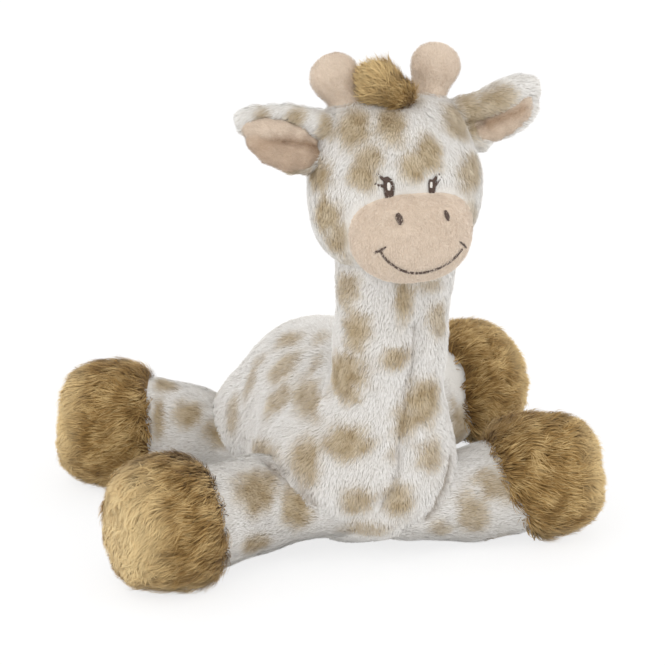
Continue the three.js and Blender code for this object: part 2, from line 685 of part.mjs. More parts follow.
function earRoom(side) {
  const { root, frame, axis } = earPlace(side);
  const edge = earWidthShares.slice(0, RINGS.earRoot).map((share, i) => {
    const out = (EAR.length * i) / (earWidthShares.length - 1);
    return new THREE.Vector2(out, EAR.halfWidth * share + SEAT_CLEARANCE);
  });
  const farEdge = edge.map((point) => new THREE.Vector2(point.x, -point.y)).reverse();
  const paddle = new THREE.Shape([...edge, ...farEdge].reverse());
  const behind = EAR.backThickness + SEAT_CLEARANCE;
  const depth = behind + EAR.liningThickness + EAR.cup + SEAT_CLEARANCE;
  const lay = new THREE.Matrix4().makeRotationX(-Math.PI / 2).setPosition(0, -behind, 0);
  return limbRoom(root, EAR.rootRadius, frame, axis, EAR_FLAP_DEGREES, (pose) => {
    const slab = new THREE.ExtrudeGeometry(paddle, { depth, bevelEnabled: false });
    return solidOf(slab, pose.clone().multiply(lay));
  });
}

// The whole animal, with the middle of its outline over the origin
const giraffe = new THREE.Group();
giraffe.add(...torsoPieces(), ...neckPieces(), ...headPieces(), ...muzzlePieces());
for (const [name, side] of [["left", 1], ["right", -1]]) {
  giraffe.add(...eyePieces(name, side), nostrilPiece(name, side));
  giraffe.add(...knobPieces(name, side), ...earPieces(name, side));
}
giraffe.add(smilePiece(), tuftPiece(), ...tailPieces());
for (const name of legNames) giraffe.add(...legPieces(name), ...hoofPieces(name));

const outline = new THREE.Box3().setFromObject(giraffe);
const middle = outline.getCenter(new THREE.Vector3());
giraffe.position.set(-middle.x, -middle.y, -outline.min.z);

const describe = (v) => v.toArray().map((n) => n.toFixed(3)).join(" ");
const placed = (v) => describe(v.clone().add(giraffe.position));
console.log("size", describe(outline.getSize(new THREE.Vector3())));
for (const name of legNames) {
  const { hip, axis } = legPlace(name);
  console.log(name, placed(hip), "axis", describe(axis));
}
console.log("neck bend", placed(neckBase), "head turn", placed(headCentre), "axis", describe(neckDirection));
for (const side of [1, -1]) {
  const { root, axis } = earPlace(side);
  console.log("ear", placed(root), "axis", describe(axis));
}
console.log("tail", placed(tailPlace().root));

export default giraffe;
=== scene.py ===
import math

import bpy
import numpy as np
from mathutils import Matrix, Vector
from mathutils.bvhtree import BVHTree


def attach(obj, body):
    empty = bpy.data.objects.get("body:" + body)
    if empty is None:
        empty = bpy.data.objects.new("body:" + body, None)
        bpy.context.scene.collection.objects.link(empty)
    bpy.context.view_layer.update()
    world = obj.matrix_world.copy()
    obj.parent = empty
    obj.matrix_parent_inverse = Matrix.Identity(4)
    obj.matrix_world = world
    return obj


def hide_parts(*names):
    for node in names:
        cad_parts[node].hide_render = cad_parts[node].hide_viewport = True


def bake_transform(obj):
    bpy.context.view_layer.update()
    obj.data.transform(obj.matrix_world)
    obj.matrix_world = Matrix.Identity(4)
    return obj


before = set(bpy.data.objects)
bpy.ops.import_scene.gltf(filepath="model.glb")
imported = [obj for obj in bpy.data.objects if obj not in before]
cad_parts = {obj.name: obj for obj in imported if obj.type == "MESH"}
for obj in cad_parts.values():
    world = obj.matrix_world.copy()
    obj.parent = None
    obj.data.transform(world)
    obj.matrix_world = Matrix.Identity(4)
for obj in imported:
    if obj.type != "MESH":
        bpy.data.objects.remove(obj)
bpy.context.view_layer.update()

mm = 0.001
scene = bpy.context.scene
scene.view_settings.view_transform = "Standard"
up = np.array((0.0, 0.0, 1.0))


def unit(v):
    v = np.asarray(v, float)
    return v / np.maximum(np.linalg.norm(v, axis=-1, keepdims=True), 1e-12)


# Camera. The picture is 665 pixels wide and high
print("camera")
lensSet = {
    "azimuth": -16.99, "elevation": 19.99, "distance": 1181, "pivot": (0, 0, 110),
    "pixelsPerMm": 2.0987, "across": -6.9, "down": -38.2, "picture": 665, "sensor": 36,
}
turn, lift = math.radians(lensSet["azimuth"]), math.radians(lensSet["elevation"])
viewBack = np.array((math.sin(turn) * math.cos(lift), -math.cos(turn) * math.cos(lift), math.sin(lift)))
viewRight = np.array((math.cos(turn), math.sin(turn), 0))
viewUp = np.cross(viewBack, viewRight)
viewPivot = np.array(lensSet["pivot"], float)
viewEye = viewPivot + viewBack * lensSet["distance"]
focalPixels = lensSet["pixelsPerMm"] * lensSet["distance"]
cameraData = bpy.data.cameras.new("camera")
camera = bpy.data.objects.new("camera", cameraData)
scene.collection.objects.link(camera)
camera.location = Vector(viewEye) * mm
camera.rotation_mode = "QUATERNION"
camera.rotation_quaternion = Vector(-viewBack).to_track_quat("-Z", "Y")
cameraData.sensor_width = lensSet["sensor"]
cameraData.lens = lensSet["sensor"] * focalPixels / lensSet["picture"]
cameraData.shift_x = -lensSet["across"] / lensSet["picture"]
cameraData.shift_y = lensSet["down"] / lensSet["picture"]
cameraData.clip_start, cameraData.clip_end = 0.05, 20
scene.camera = camera


def rayAt(x, y):  # the line of sight through a pixel, in mm
    half = lensSet["picture"] / 2
    right = (x - half - lensSet["across"]) / focalPixels
    high = (half + lensSet["down"] - y) / focalPixels
    return viewEye, unit(-viewBack + right * viewRight + high * viewUp)


def facedAt(x, y, through, toward=0.0, facing=viewBack):  # a pixel's place on the plane through a point
    eye, way = rayAt(x, y)
    return eye + way * (((through + facing * toward - eye) @ facing) / (way @ facing))


# Node trees
class Wire:  # a socket that can stand in a sum
    def __init__(self, tree, socket):
        self.tree, self.socket = tree, socket

    def maths(self, operation, other=None, turned=False):
        values = [self] if other is None else [other, self] if turned else [self, other]
        return self.tree.add("ShaderNodeMath", {"operation": operation}, values)

    def __add__(self, other): return self.maths("ADD", other)
    def __radd__(self, other): return self.maths("ADD", other, True)
    def __sub__(self, other): return self.maths("SUBTRACT", other)
    def __rsub__(self, other): return self.maths("SUBTRACT", other, True)
    def __mul__(self, other): return self.maths("MULTIPLY", other)
    def __rmul__(self, other): return self.maths("MULTIPLY", other, True)
    def __truediv__(self, other): return self.maths("DIVIDE", other)
    def __pow__(self, other): return self.maths("POWER", other)


class Tree:  # a node tree with one way to add a node
    def __init__(self, nodeTree):
        self.nodeTree = nodeTree

    def socketOf(self, sockets, key):
        if isinstance(key, int):
            return [s for s in sockets if s.enabled][key]
        return next(s for s in sockets if s.enabled and s.name == key)

    def add(self, kind, settings=None, values=(), output=0):
        node = self.nodeTree.nodes.new(kind)
        for name, value in (settings or {}).items():
            if name == "stops":
                self.setStops(node.color_ramp, value)
            else:
                setattr(node, name, value)
        pairs = values.items() if isinstance(values, dict) else enumerate(values)
        for key, value in pairs:
            socket = self.socketOf(node.inputs, key)
            if isinstance(value, Wire):
                self.nodeTree.links.new(value.socket, socket)
            elif value is not None:
                socket.default_value = value
        if not [s for s in node.outputs if s.enabled]:
            return node
        return Wire(self, self.socketOf(node.outputs, output))

    def setStops(self, ramp, stops):
        while len(ramp.elements) < len(stops):
            ramp.elements.new(1)
        for element, (place, colour) in zip(ramp.elements, stops):
            element.position, element.color = place, colour

    def beside(self, wire, output):  # another output of the same node
        return Wire(self, self.socketOf(wire.socket.node.outputs, output))

    def vector(self, operation, *values):
        return self.add("ShaderNodeVectorMath", {"operation": operation}, list(values))

    def scaled(self, vector, share):
        return self.add("ShaderNodeVectorMath", {"operation": "SCALE"}, {0: vector, "Scale": share})

    def combined(self, *parts):
        return self.add("ShaderNodeCombineXYZ", None, list(parts))

    def part(self, vector, axis):
        return self.add("ShaderNodeSeparateXYZ", None, [vector], axis)

    def clamped(self, value):
        return self.add("ShaderNodeClamp", None, [value, 0.0, 1.0])

    def random(self, kind, low, high, seed):
        return self.add("FunctionNodeRandomValue", {"data_type": kind}, {"Min": low, "Max": high, "Seed": seed})

    def named(self, name, kind="FLOAT"):  # a value that the mesh carries
        return self.add("GeometryNodeInputNamedAttribute", {"data_type": kind}, {"Name": name}, "Attribute")

    def dressed(self, geometry, finish):
        geometry = self.add("GeometryNodeSetShadeSmooth", None, {"Geometry": geometry, "Shade Smooth": True})
        return self.add("GeometryNodeSetMaterial", None, {"Geometry": geometry, "Material": finish})

    def mixColours(self, share, first, second, blend="MIX"):
        return self.add("ShaderNodeMix", {"data_type": "RGBA", "blend_type": blend},
                        {"Factor": share, "A": first, "B": second})

    def dyed(self, colour, tint):
        return self.mixColours(1.0, colour, tint, "MULTIPLY")


def treeOn(owner):  # the tree of a material or a world, emptied
    owner.use_nodes = True
    owner.node_tree.nodes.clear()
    return Tree(owner.node_tree)


def srgb(red, green, blue):  # a colour by its 0 to 255 values, as the node sockets take it
    line = [c / 255 / 12.92 if c <= 10 else ((c / 255 + 0.055) / 1.055) ** 2.4 for c in (red, green, blue)]
    return (*line, 1)


def newFinish(name, settings):
    finish = bpy.data.materials.new(name)
    tree = treeOn(finish)
    shader = tree.add("ShaderNodeBsdfPrincipled", None, {
        "Roughness": settings["roughness"], "Specular IOR Level": settings["specular"],
        "Sheen Weight": settings.get("sheen", 0), "Sheen Roughness": 0.5, "Sheen Tint": (1, 1, 1, 1),
    })
    tree.add("ShaderNodeOutputMaterial", None, {"Surface": shader})
    tree.shader = shader.socket.node
    return finish, tree


def feed(tree, socketName, wire):
    tree.nodeTree.links.new(wire.socket, tree.shader.inputs[socketName])


def attributeOf(tree, name, output="Fac"):
    return tree.add("ShaderNodeAttribute", {"attribute_name": name}, (), output)


def noiseOf(tree, scale, detail=2, roughness=0.5):
    place = tree.add("ShaderNodeTexCoord", None, (), "Object")
    return tree.add("ShaderNodeTexNoise", None,
                    {"Vector": place, "Scale": scale, "Detail": detail, "Roughness": roughness})


def bumpOf(tree, height, strength, distance):
    feed(tree, "Normal", tree.add("ShaderNodeBump", None,
                                  {"Strength": strength, "Distance": distance, "Height": height}))


# Finishes
print("finishes")
plushSet = {  # noise sizes are per metre; a bump is its strength and its height in metres
    "white": srgb(248, 247, 245), "shadow": srgb(238, 235, 230), "spot": srgb(218, 203, 176),
    "spotDark": srgb(184, 163, 128), "roughness": 0.95, "specular": 0.12, "sheen": 0.15,
    # ground darkens the bare skin and the groove tint darkens grooves: both are painted shade
    "ground": (0.85, 0.84, 0.82, 1), "foldShade": (0.52, 0.45, 0.38, 1), "rootShade": (0.74, 0.71, 0.67, 1),
    "mixing": 0.7, "cloud": 60, "streak": 170, "streakPower": 2.4, "streakStart": 0.8, "tipLight": 0.4,
    "hairLight": 0.4, "leastLight": 0.34, "grain": 900, "bump": (0.5, 0.0006),
}
goldSet = {
    "root": srgb(98, 70, 32), "middle": srgb(160, 126, 73), "tip": srgb(220, 191, 135), "pale": srgb(242, 218, 166),
    "roughness": 0.7, "specular": 0.2, "sheen": 0.1, "tipLight": 0.7, "hairLight": 0.3, "cloud": 110,
    "cloudPower": 1.2, "cloudStart": 0.66, "paintedLightShare": 0.8, "grain": 260, "bump": (0.6, 0.001),
}
velboaSet = {
    "plain": srgb(232, 216, 199), "otherTone": srgb(200, 182, 161), "foldShade": srgb(208, 190, 172), "roughness": 0.9,
    "specular": 0.15, "sheen": 0.25, "cloud": 70, "fleck": 700, "nap": 1500, "power": 0.6, "start": 0.35,
    "pileStart": 0.2, "bump": (0.35, 0.0004),
}
threadSet = {
    "dark": srgb(62, 46, 40), "otherTone": srgb(96, 78, 68), "white": srgb(236, 232, 226), "shaded": srgb(214, 208, 200),
    "roughness": 0.55, "specular": 0.35, "fibre": 2600, "bump": (0.3, 0.0002),
}


def plushColour(tree, pile):
    patch = attributeOf(tree, "spot")
    if pile:  # hairs of both colours mix where a spot ends
        atEdge = (patch - 0.5).maths("ABSOLUTE") * -2 + 1
        patch = tree.clamped(patch + (attributeOf(tree, "shade") - 0.5) * plushSet["mixing"] * atEdge)
    white = tree.mixColours(noiseOf(tree, plushSet["cloud"], 3), plushSet["shadow"], plushSet["white"])
    streak = noiseOf(tree, plushSet["streak"], 3) * plushSet["streakPower"] - plushSet["streakStart"]
    brown = tree.mixColours(tree.clamped(streak), plushSet["spotDark"], plushSet["spot"])
    colour = tree.mixColours(patch, white, brown)
    # painted shade darkens grooves and folds
    colour = tree.mixColours(attributeOf(tree, "folded"), colour, tree.dyed(colour, plushSet["foldShade"]))
    if pile:  # roots lie in shade, tips catch the light, and hairs differ a little
        light = attributeOf(tree, "tip") * plushSet["tipLight"] + attributeOf(tree, "shade") * plushSet["hairLight"]
        light = tree.clamped(light + plushSet["leastLight"])
        colour = tree.mixColours(light, tree.dyed(colour, plushSet["rootShade"]), colour)
    return colour


def makePlush(name, pile):
    finish, tree = newFinish(name, plushSet)
    colour = plushColour(tree, pile)
    # the bare skin is darkened to match the shaded pile: painted shade
    feed(tree, "Base Color", colour if pile else tree.dyed(colour, plushSet["ground"]))
    if not pile:
        bumpOf(tree, noiseOf(tree, plushSet["grain"], 3), *plushSet["bump"])
    return finish


def makeGold(name, pile):
    finish, tree = newFinish(name, goldSet)
    if pile:
        place = attributeOf(tree, "tip") * goldSet["tipLight"] + attributeOf(tree, "shade") * goldSet["hairLight"]
        place = place + noiseOf(tree, goldSet["cloud"], 3) * goldSet["cloudPower"] - goldSet["cloudStart"]
        ramp = tree.add("ShaderNodeValToRGB", {"stops": [
            (0.08, goldSet["root"]), (0.5, goldSet["middle"]), (0.95, goldSet["tip"])]}, [place])
        # painted light on the hooves and the tuft mixes in a paler gold
        pale = attributeOf(tree, "pale") * goldSet["paintedLightShare"]
        feed(tree, "Base Color", tree.mixColours(pale, ramp, goldSet["pale"]))
    else:
        grain = noiseOf(tree, goldSet["grain"], 4)
        feed(tree, "Base Color", tree.mixColours(grain, goldSet["root"], goldSet["middle"]))
        bumpOf(tree, grain, *goldSet["bump"])
    return finish


def makeVelboa(name, pile):
    finish, tree = newFinish(name, velboaSet)
    power, nap = velboaSet["power"], noiseOf(tree, velboaSet["nap"], 3, 0.65)
    share = noiseOf(tree, velboaSet["cloud"], 4) * power + noiseOf(tree, velboaSet["fleck"], 3, 0.6) * power
    share = share - velboaSet["start"]
    if pile:
        # in the nap, roots are darker and tips lighter: painted shade, with hairs that differ at random
        share = share + (attributeOf(tree, "shade") * power + attributeOf(tree,
            "tip") * power - velboaSet["pileStart"])
    else:
        share = share + nap * power
    colour = tree.mixColours(tree.clamped(share), velboaSet["otherTone"], velboaSet["plain"])
    # painted shade darkens grooves and folds
    shadedInFolds = tree.dyed(colour, velboaSet["foldShade"])
    feed(tree, "Base Color", tree.mixColours(attributeOf(tree, "folded"), colour, shadedInFolds))
    if not pile:
        bumpOf(tree, nap, *velboaSet["bump"])
    return finish


def makeThread(name, first, second):
    finish, tree = newFinish(name, threadSet)
    fibre = noiseOf(tree, threadSet["fibre"], 2)
    feed(tree, "Base Color", tree.mixColours(fibre, first, second))
    bumpOf(tree, fibre, *threadSet["bump"])
    return finish


plushSkin, plushPile = makePlush("plush ground", False), makePlush("plush pile", True)
goldSkin, goldPile = makeGold("golden ground", False), makeGold("golden pile", True)
velboa, velboaPile = makeVelboa("beige velboa", False), makeVelboa("velboa nap", True)
darkThread = makeThread("dark thread", threadSet["dark"], threadSet["otherTone"])
whiteThread = makeThread("white thread", threadSet["white"], threadSet["shaded"])


# Meshes
def makeObject(name, vertices, faces, finish):
    mesh = bpy.data.meshes.new(name)
    mesh.from_pydata((np.asarray(vertices, float) * mm).tolist(), [], [list(map(int, f)) for f in faces])
    mesh.materials.append(finish)
    mesh.update()
    mesh.shade_smooth()
    made = bpy.data.objects.new(name, mesh)
    scene.collection.objects.link(made)
    return made


def rowsOf(items, key, kind, width):
    flat = np.zeros(len(items) * width, kind)
    items.foreach_get(key, flat)
    return flat.reshape(-1, width)


def pointsOf(thing):  # the corners of a mesh, in mm
    return rowsOf(thing.data.vertices, "co", np.float32, 3).astype(float) / mm


def setPoints(thing, points):
    thing.data.vertices.foreach_set("co", (np.asarray(points) * mm).astype(np.float32).ravel())
    thing.data.update()


def normalsOf(thing):
    return rowsOf(thing.data.vertex_normals, "vector", np.float32, 3).astype(float)


def edgesOf(thing):
    return rowsOf(thing.data.edges, "vertices", np.int32, 2)


def note(thing, name, values):  # keeps a value, or a vector, at each corner of a mesh
    values = np.asarray(values, np.float32)
    if values.ndim == 0:
        values = np.full(len(thing.data.vertices), values)
    kind, key = ("FLOAT_VECTOR", "vector") if values.ndim == 2 else ("FLOAT", "value")
    layer = thing.data.attributes.get(name) or thing.data.attributes.new(name, kind, "POINT")
    layer.data.foreach_set(key, values.ravel())


def applied(thing):  # leaves the mesh as its modifiers made it
    seen = thing.evaluated_get(bpy.context.evaluated_depsgraph_get())
    mesh = bpy.data.meshes.new_from_object(seen)
    thing.modifiers.clear()
    old, thing.data = thing.data, mesh
    bpy.data.meshes.remove(old)


skinRest = 0.6  # how high the lowest skin lies over the floor, in mm


def rested(thing):
    points = pointsOf(thing)
    points[:, 2] = np.maximum(points[:, 2], skinRest)
    setPoints(thing, points)


# Soft forms are where a field of distances, in mm, is nothing
def sloped(field, points, step=0.4):
    slope = np.zeros_like(points)
    for axis in range(3):
        move = np.zeros(3)
        move[axis] = step
        slope[:, axis] = (field(points + move) - field(points - move)) / (2 * step)
    return slope


def asDistance(form):  # a form that is nothing on its skin, made into a distance near there
    def field(points):
        slope = np.linalg.norm(sloped(form, points), axis=1)
        return form(points) / np.maximum(slope, 0.004)
    return field


def roundField(centre, axes, halfLength, halfWidth, rise, drop, blunt, swell, square=2, lean=0.0):
    along, across, high = (np.asarray(a, float) for a in axes)

    def form(points):
        q = points - np.asarray(centre, float)
        y = q @ along / halfLength
        if lean:  # the near end is cut aslant
            y = y + lean * (q @ high) / halfLength * np.clip(0.5 - y, 0, 1)
        share = np.arccos(np.clip(-y, -1, 1)) / math.pi
        girth = np.interp(share, np.linspace(0, 1, len(swell)), swell)
        z = q @ high
        tall = np.where(z > 0, rise, drop)
        ring = np.abs(q @ across / (halfWidth * girth)) ** square + np.abs(z / (tall * girth)) ** square
        return ring ** (2 / square / blunt) + y * y - 1
    return asDistance(form)


def rodField(start, end, startRadius, endRadius):
    start, end = np.asarray(start, float), np.asarray(end, float)
    line = end - start

    def field(points):
        share = np.clip((points - start) @ line / (line @ line), 0, 1)
        radius = startRadius + (endRadius - startRadius) * share
        return np.linalg.norm(points - start - share[:, None] * line, axis=1) - radius
    return field


def moundField(place, radius):
    place = np.asarray(place, float)
    return rodField(place, place + up, radius, radius)


def joined(fields, melt):  # forms that run into each other over a soft fillet
    def field(points):
        total = fields[0](points)
        for other, width in zip(fields[1:], melt):
            value = other(points)
            width = width(points) if callable(width) else width
            share = np.clip(0.5 + 0.5 * (value - total) / width, 0, 1)
            total = value + (total - value) * share - width * share * (1 - share)
        return total
    return field


def nearLine(points, line):  # how far each point is from a run of points
    line = np.asarray(line, float)
    best = np.full(len(points), 1e9)
    for start, end in zip(line[:-1], line[1:]):
        run = end - start
        share = np.clip((points - start) @ run / max(run @ run, 1e-9), 0, 1)
        best = np.minimum(best, np.linalg.norm(points - start - share[:, None] * run, axis=1))
    return best


def drawnIn(field, inset):  # room for the pile that grows on the skin
    return lambda points: field(points) + inset


def ripple(points, size, seed):  # a smooth random value from about -1 to 1
    dice = np.random.default_rng(seed)
    total = np.zeros(len(points))
    for turnNumber in range(7):
        way = unit(dice.normal(size=3)) / (size * dice.uniform(0.7, 1.4))
        total += np.sin(points @ way * 2 * math.pi + dice.uniform(0, 6.28))
    return total / 3.2


def eased(points, edges, share=0.5):
    count = np.bincount(edges.ravel(), minlength=len(points))
    total = np.zeros_like(points)
    for axis in range(3):
        total[:, axis] = (np.bincount(edges[:, 0], points[edges[:, 1], axis], len(points))
                          + np.bincount(edges[:, 1], points[edges[:, 0], axis], len(points)))
    return points + share * (total / np.maximum(count, 1)[:, None] - points)


ballRings, ballSides = 10, 16


def ballMesh(centre, radii, axes):
    along, across, high = axes
    vertices, faces = [], []
    for ring in range(ballRings + 1):
        a = math.pi * ring / ballRings
        for side in range(ballSides if 0 < ring < ballRings else 1):
            b = 2 * math.pi * side / ballSides
            vertices.append(np.asarray(centre) - along * radii[1] * math.cos(a)
                            + across * radii[0] * math.sin(a) * math.cos(b)
                            + high * radii[2] * math.sin(a) * math.sin(b))
    for ring in range(ballRings):
        for side in range(ballSides):
            here = 1 + (ring - 1) * ballSides
            nextSide = (side + 1) % ballSides
            if ring == 0:
                faces.append((0, 1 + nextSide, 1 + side))
            elif ring == ballRings - 1:
                faces.append((here + side, here + nextSide, len(vertices) - 1))
            else:
                faces.append((here + side, here + nextSide, here + ballSides + nextSide, here + ballSides + side))
    return vertices, faces


plainAxes = (np.array((0, 1.0, 0)), np.array((1.0, 0, 0)), up)


def beads(places, radius):
    return [(place, (radius,) * 3, plainAxes) for place in places]


def softForm(name, balls, field, voxel, finish, rounds=3):
    # balls that fill the form roughly are made one skin, which is then drawn onto the field
    vertices, faces = [], []
    for centre, radii, axes in balls:
        more, moreFaces = ballMesh(centre, radii, axes)
        faces += [tuple(v + len(vertices) for v in f) for f in moreFaces]
        vertices += more
    made = makeObject(name, vertices, faces, finish)
    remesh = made.modifiers.new("one skin", "REMESH")
    remesh.mode, remesh.voxel_size = "VOXEL", voxel * mm
    remesh.use_smooth_shade = True
    applied(made)
    points, edges = pointsOf(made), edgesOf(made)
    for pull in range(rounds + 2):
        if pull < rounds:
            points = eased(eased(points, edges), edges)
        away = field(points)
        slope = sloped(field, points)
        size = np.maximum((slope ** 2).sum(1), 0.05)
        step = np.clip(away, -6, 6)[:, None] * slope / size[:, None]
        points = points - step
    setPoints(made, points)
    if made.data.materials:
        made.data.materials[0] = finish
    else:
        made.data.materials.append(finish)
    made.data.shade_smooth()
    return made


# Cloth: a skin is blown up between its seams, and settles a little way from where it was
clothSet = {
    "pressure": 100, "frames": 20, "stiff": 0.5, "bend": 0.4, "mass": 0.001, "quality": 3, "cap": 2.0, "ease": 0.4,
}


def puffed(thing, seams, pressure=1.0):
    before = pointsOf(thing)
    group = thing.vertex_groups.new(name="seams")
    group.add([int(index) for index in np.flatnonzero(seams)], 1.0, "REPLACE")
    cloth = thing.modifiers.new("cloth", "CLOTH")
    fabric = cloth.settings
    fabric.quality, fabric.mass, fabric.vertex_group_mass = clothSet["quality"], clothSet["mass"], "seams"
    fabric.tension_stiffness = fabric.compression_stiffness = fabric.shear_stiffness = clothSet["stiff"]
    fabric.bending_stiffness = clothSet["bend"]
    fabric.use_pressure, fabric.uniform_pressure_force = True, clothSet["pressure"] * pressure
    fabric.effector_weights.gravity = 0
    cloth.point_cache.frame_start, cloth.point_cache.frame_end = 1, clothSet["frames"]
    for frameNumber in range(1, clothSet["frames"] + 1):
        scene.frame_set(frameNumber)
    move = pointsOf(thing.evaluated_get(bpy.context.evaluated_depsgraph_get())) - before
    thing.modifiers.clear()
    thing.vertex_groups.clear()
    scene.frame_set(1)
    far = np.linalg.norm(move, axis=1)
    move *= np.minimum(1, clothSet["cap"] / np.maximum(far, 1e-6))[:, None]
    setPoints(thing, before + eased(move, edgesOf(thing), clothSet["ease"]))
    print("  ", thing.name, "moved", round(float(far.mean()), 2), "mm, at most", round(float(far.max()), 2))


# Pile: blades on a skin, combed along the skin's own directions
floorGap = 0.4  # how high the lowest hair ends over the floor, in mm
pileInputs = (
    ("Skin", "Geometry"), ("Per mm2", "Float"), ("Length", "Float"), ("Width", "Float"), ("Lean", "Float"),
    ("Curl", "Float"), ("Rows", "Int"), ("Wander", "Float"), ("Wander Size", "Float"), ("Stray", "Float"),
    ("Seed", "Int"), ("Map Centre", "Vector"), ("Finish", "Material"),
)


def newTree(name, inputs, output):
    nodeTree = bpy.data.node_groups.new(name, "GeometryNodeTree")
    for title, kind in inputs:
        nodeTree.interface.new_socket(title, in_out="INPUT", socket_type="NodeSocket" + kind)
    nodeTree.interface.new_socket(output, in_out="OUTPUT", socket_type="NodeSocketGeometry")
    return Tree(nodeTree)


def pileTree():
    tree = newTree("pile", pileInputs, "Pile")
    entry = tree.add("NodeGroupInput", None, (), "Skin")
    given = {name: tree.beside(entry, name) for name, _ in pileInputs[1:]}

    def keep(geometry, name, kind, value, domain="POINT"):
        return tree.add("GeometryNodeStoreNamedAttribute", {"data_type": kind, "domain": domain},
                        {"Geometry": geometry, "Name": name, "Value": value})

    # one blade, from its root upwards, pointed at both ends
    strip = tree.add("GeometryNodeMeshGrid", None,
                     {"Size X": 1.0, "Size Y": 1.0, "Vertices X": 2, "Vertices Y": given["Rows"]})
    place = tree.add("GeometryNodeInputPosition")
    strip = keep(strip, "tip", "FLOAT", tree.part(place, "Y") + 0.5)
    strip = keep(strip, "side", "FLOAT", tree.part(place, "X"))
    tip, side = tree.named("tip"), tree.named("side")
    taper = (tip ** 0.7 * math.pi).maths("SINE")
    bend = given["Lean"] + given["Curl"] * tip
    reach = given["Length"] * tip
    outline = tree.combined(reach * bend.maths("SINE"), side * taper * given["Width"], reach * bend.maths("COSINE"))
    blade = tree.add("GeometryNodeSetPosition", None, {"Geometry": strip, "Position": outline})
    blade = tree.add("GeometryNodeMergeByDistance", None, {"Geometry": blade, "Distance": 1e-6})

    # where the blades stand
    points = tree.add("GeometryNodeDistributePointsOnFaces", None, {
        "Mesh": entry, "Density": given["Per mm2"] * tree.named("shown") * 1e6, "Seed": given["Seed"]})
    normal = tree.beside(points, "Normal")
    offset = tree.vector("SUBTRACT", tree.add("GeometryNodeInputPosition"), given["Map Centre"])
    parts = tree.part(offset, "X")
    far = tree.add("ShaderNodeVectorMath", {"operation": "LENGTH"}, [offset], "Value")
    turned = parts.maths("ARCTAN2", tree.beside(parts, "Y")) / (2 * math.pi) * 0.98 + 0.5
    tilted = (tree.beside(parts, "Z") / far).maths("ARCCOSINE") / math.pi * 0.98 + 0.01
    points = keep(points, "rootMap", "FLOAT_VECTOR", tree.combined(turned, tilted, 0.0))
    points = keep(points, "shade", "FLOAT", tree.random("FLOAT", 0.0, 1.0, given["Seed"] + 7))
    cloud = tree.add("ShaderNodeTexNoise", None, {
        "Vector": tree.add("GeometryNodeInputPosition"), "Scale": given["Wander Size"], "Detail": 2.0}, "Color")
    wander = tree.scaled(tree.vector("SUBTRACT", cloud, (0.5, 0.5, 0.5)), given["Wander"])

    def strayOf(number):
        loose = tree.random("FLOAT_VECTOR", (-1, -1, -1), (1, 1, 1), given["Seed"] + number)
        return tree.scaled(loose, given["Stray"])

    # how each blade lies and how long it is
    way = tree.vector("ADD", tree.vector("ADD", tree.named("comb", "FLOAT_VECTOR"), wander), strayOf(11))
    stand = tree.vector("ADD", normal, tree.scaled(strayOf(13), 0.6))
    rotation = tree.add("FunctionNodeAxesToRotation", {"primary_axis": "Z", "secondary_axis": "X"}, [stand, way])
    lock = tree.add("ShaderNodeTexNoise", None, {
        "Vector": tree.add("GeometryNodeInputPosition"), "Scale": given["Wander Size"] * 1.3, "Detail": 1.0})
    size = tree.random("FLOAT", 0.7, 1.1, given["Seed"] + 17) * tree.named("reach") * (lock * 0.9 + 0.55)
    grown = tree.add("GeometryNodeInstanceOnPoints", None,
                     {"Points": points, "Instance": blade, "Rotation": rotation, "Scale": size})
    grown = tree.add("GeometryNodeRealizeInstances", None, [grown])
    reached = tree.part(tree.add("GeometryNodeInputPosition"), "X")
    height = tree.beside(reached, "Z").maths("MAXIMUM", floorGap * mm)
    grown = tree.add("GeometryNodeSetPosition", None, {
        "Geometry": grown, "Position": tree.combined(reached, tree.beside(reached, "Y"), height)})
    spread = tree.combined(tree.named("side") * 0.0014, tree.named("tip") * 0.0016, 0.0)
    mapped = tree.vector("ADD", tree.named("rootMap", "FLOAT_VECTOR"), spread)
    grown = keep(grown, "OFBake", "FLOAT2", mapped, "CORNER")
    for name in ("rootMap", "comb", "shown", "reach", "side"):
        grown = tree.add("GeometryNodeRemoveAttribute", None, {"Geometry": grown, "Name": name})
    tree.add("NodeGroupOutput", None, {"Pile": tree.dressed(grown, given["Finish"])})
    return tree.nodeTree


def stitchTree():
    tree = newTree("stitches", (("Places", "Geometry"), ("Thread", "Float"), ("Finish", "Material")), "Stitches")
    places = tree.add("NodeGroupInput", None, (), "Places")
    thread = tree.beside(places, "Thread")
    one = tree.add("GeometryNodeMeshUVSphere", None, {"Segments": 6, "Rings": 5, "Radius": 0.5})
    way, stand, span = tree.named("way", "FLOAT_VECTOR"), tree.named("stand", "FLOAT_VECTOR"), tree.named("span")
    rotation = tree.add("FunctionNodeAxesToRotation", {"primary_axis": "X", "secondary_axis": "Z"}, [way, stand])
    sewn = tree.add("GeometryNodeInstanceOnPoints", None, {
        "Points": places, "Instance": one, "Rotation": rotation, "Scale": tree.combined(span, thread, thread * 0.8)})
    sewn = tree.add("GeometryNodeRealizeInstances", None, [sewn])
    tree.add("NodeGroupOutput", None, {"Stitches": tree.dressed(sewn, tree.beside(places, "Finish"))})
    return tree.nodeTree


pileNodes, stitchNodes = pileTree(), stitchTree()
stitchSet = {"thread": 0.62, "apart": 0.75, "lift": 0.15, "slant": 12}


def madeBy(nodes, name, maker, given):  # what a node tree makes of an object, as a plain mesh
    scene.collection.objects.link(maker)
    grow = maker.modifiers.new(name, "NODES")
    grow.node_group = nodes
    for socket in nodes.interface.items_tree:
        if socket.name in given:
            grow[socket.identifier] = given[socket.name]
    mesh = bpy.data.meshes.new_from_object(maker.evaluated_get(bpy.context.evaluated_depsgraph_get()))
    bpy.data.objects.remove(maker)
    mesh.name = name
    made = bpy.data.objects.new(name, mesh)
    scene.collection.objects.link(made)
    return made


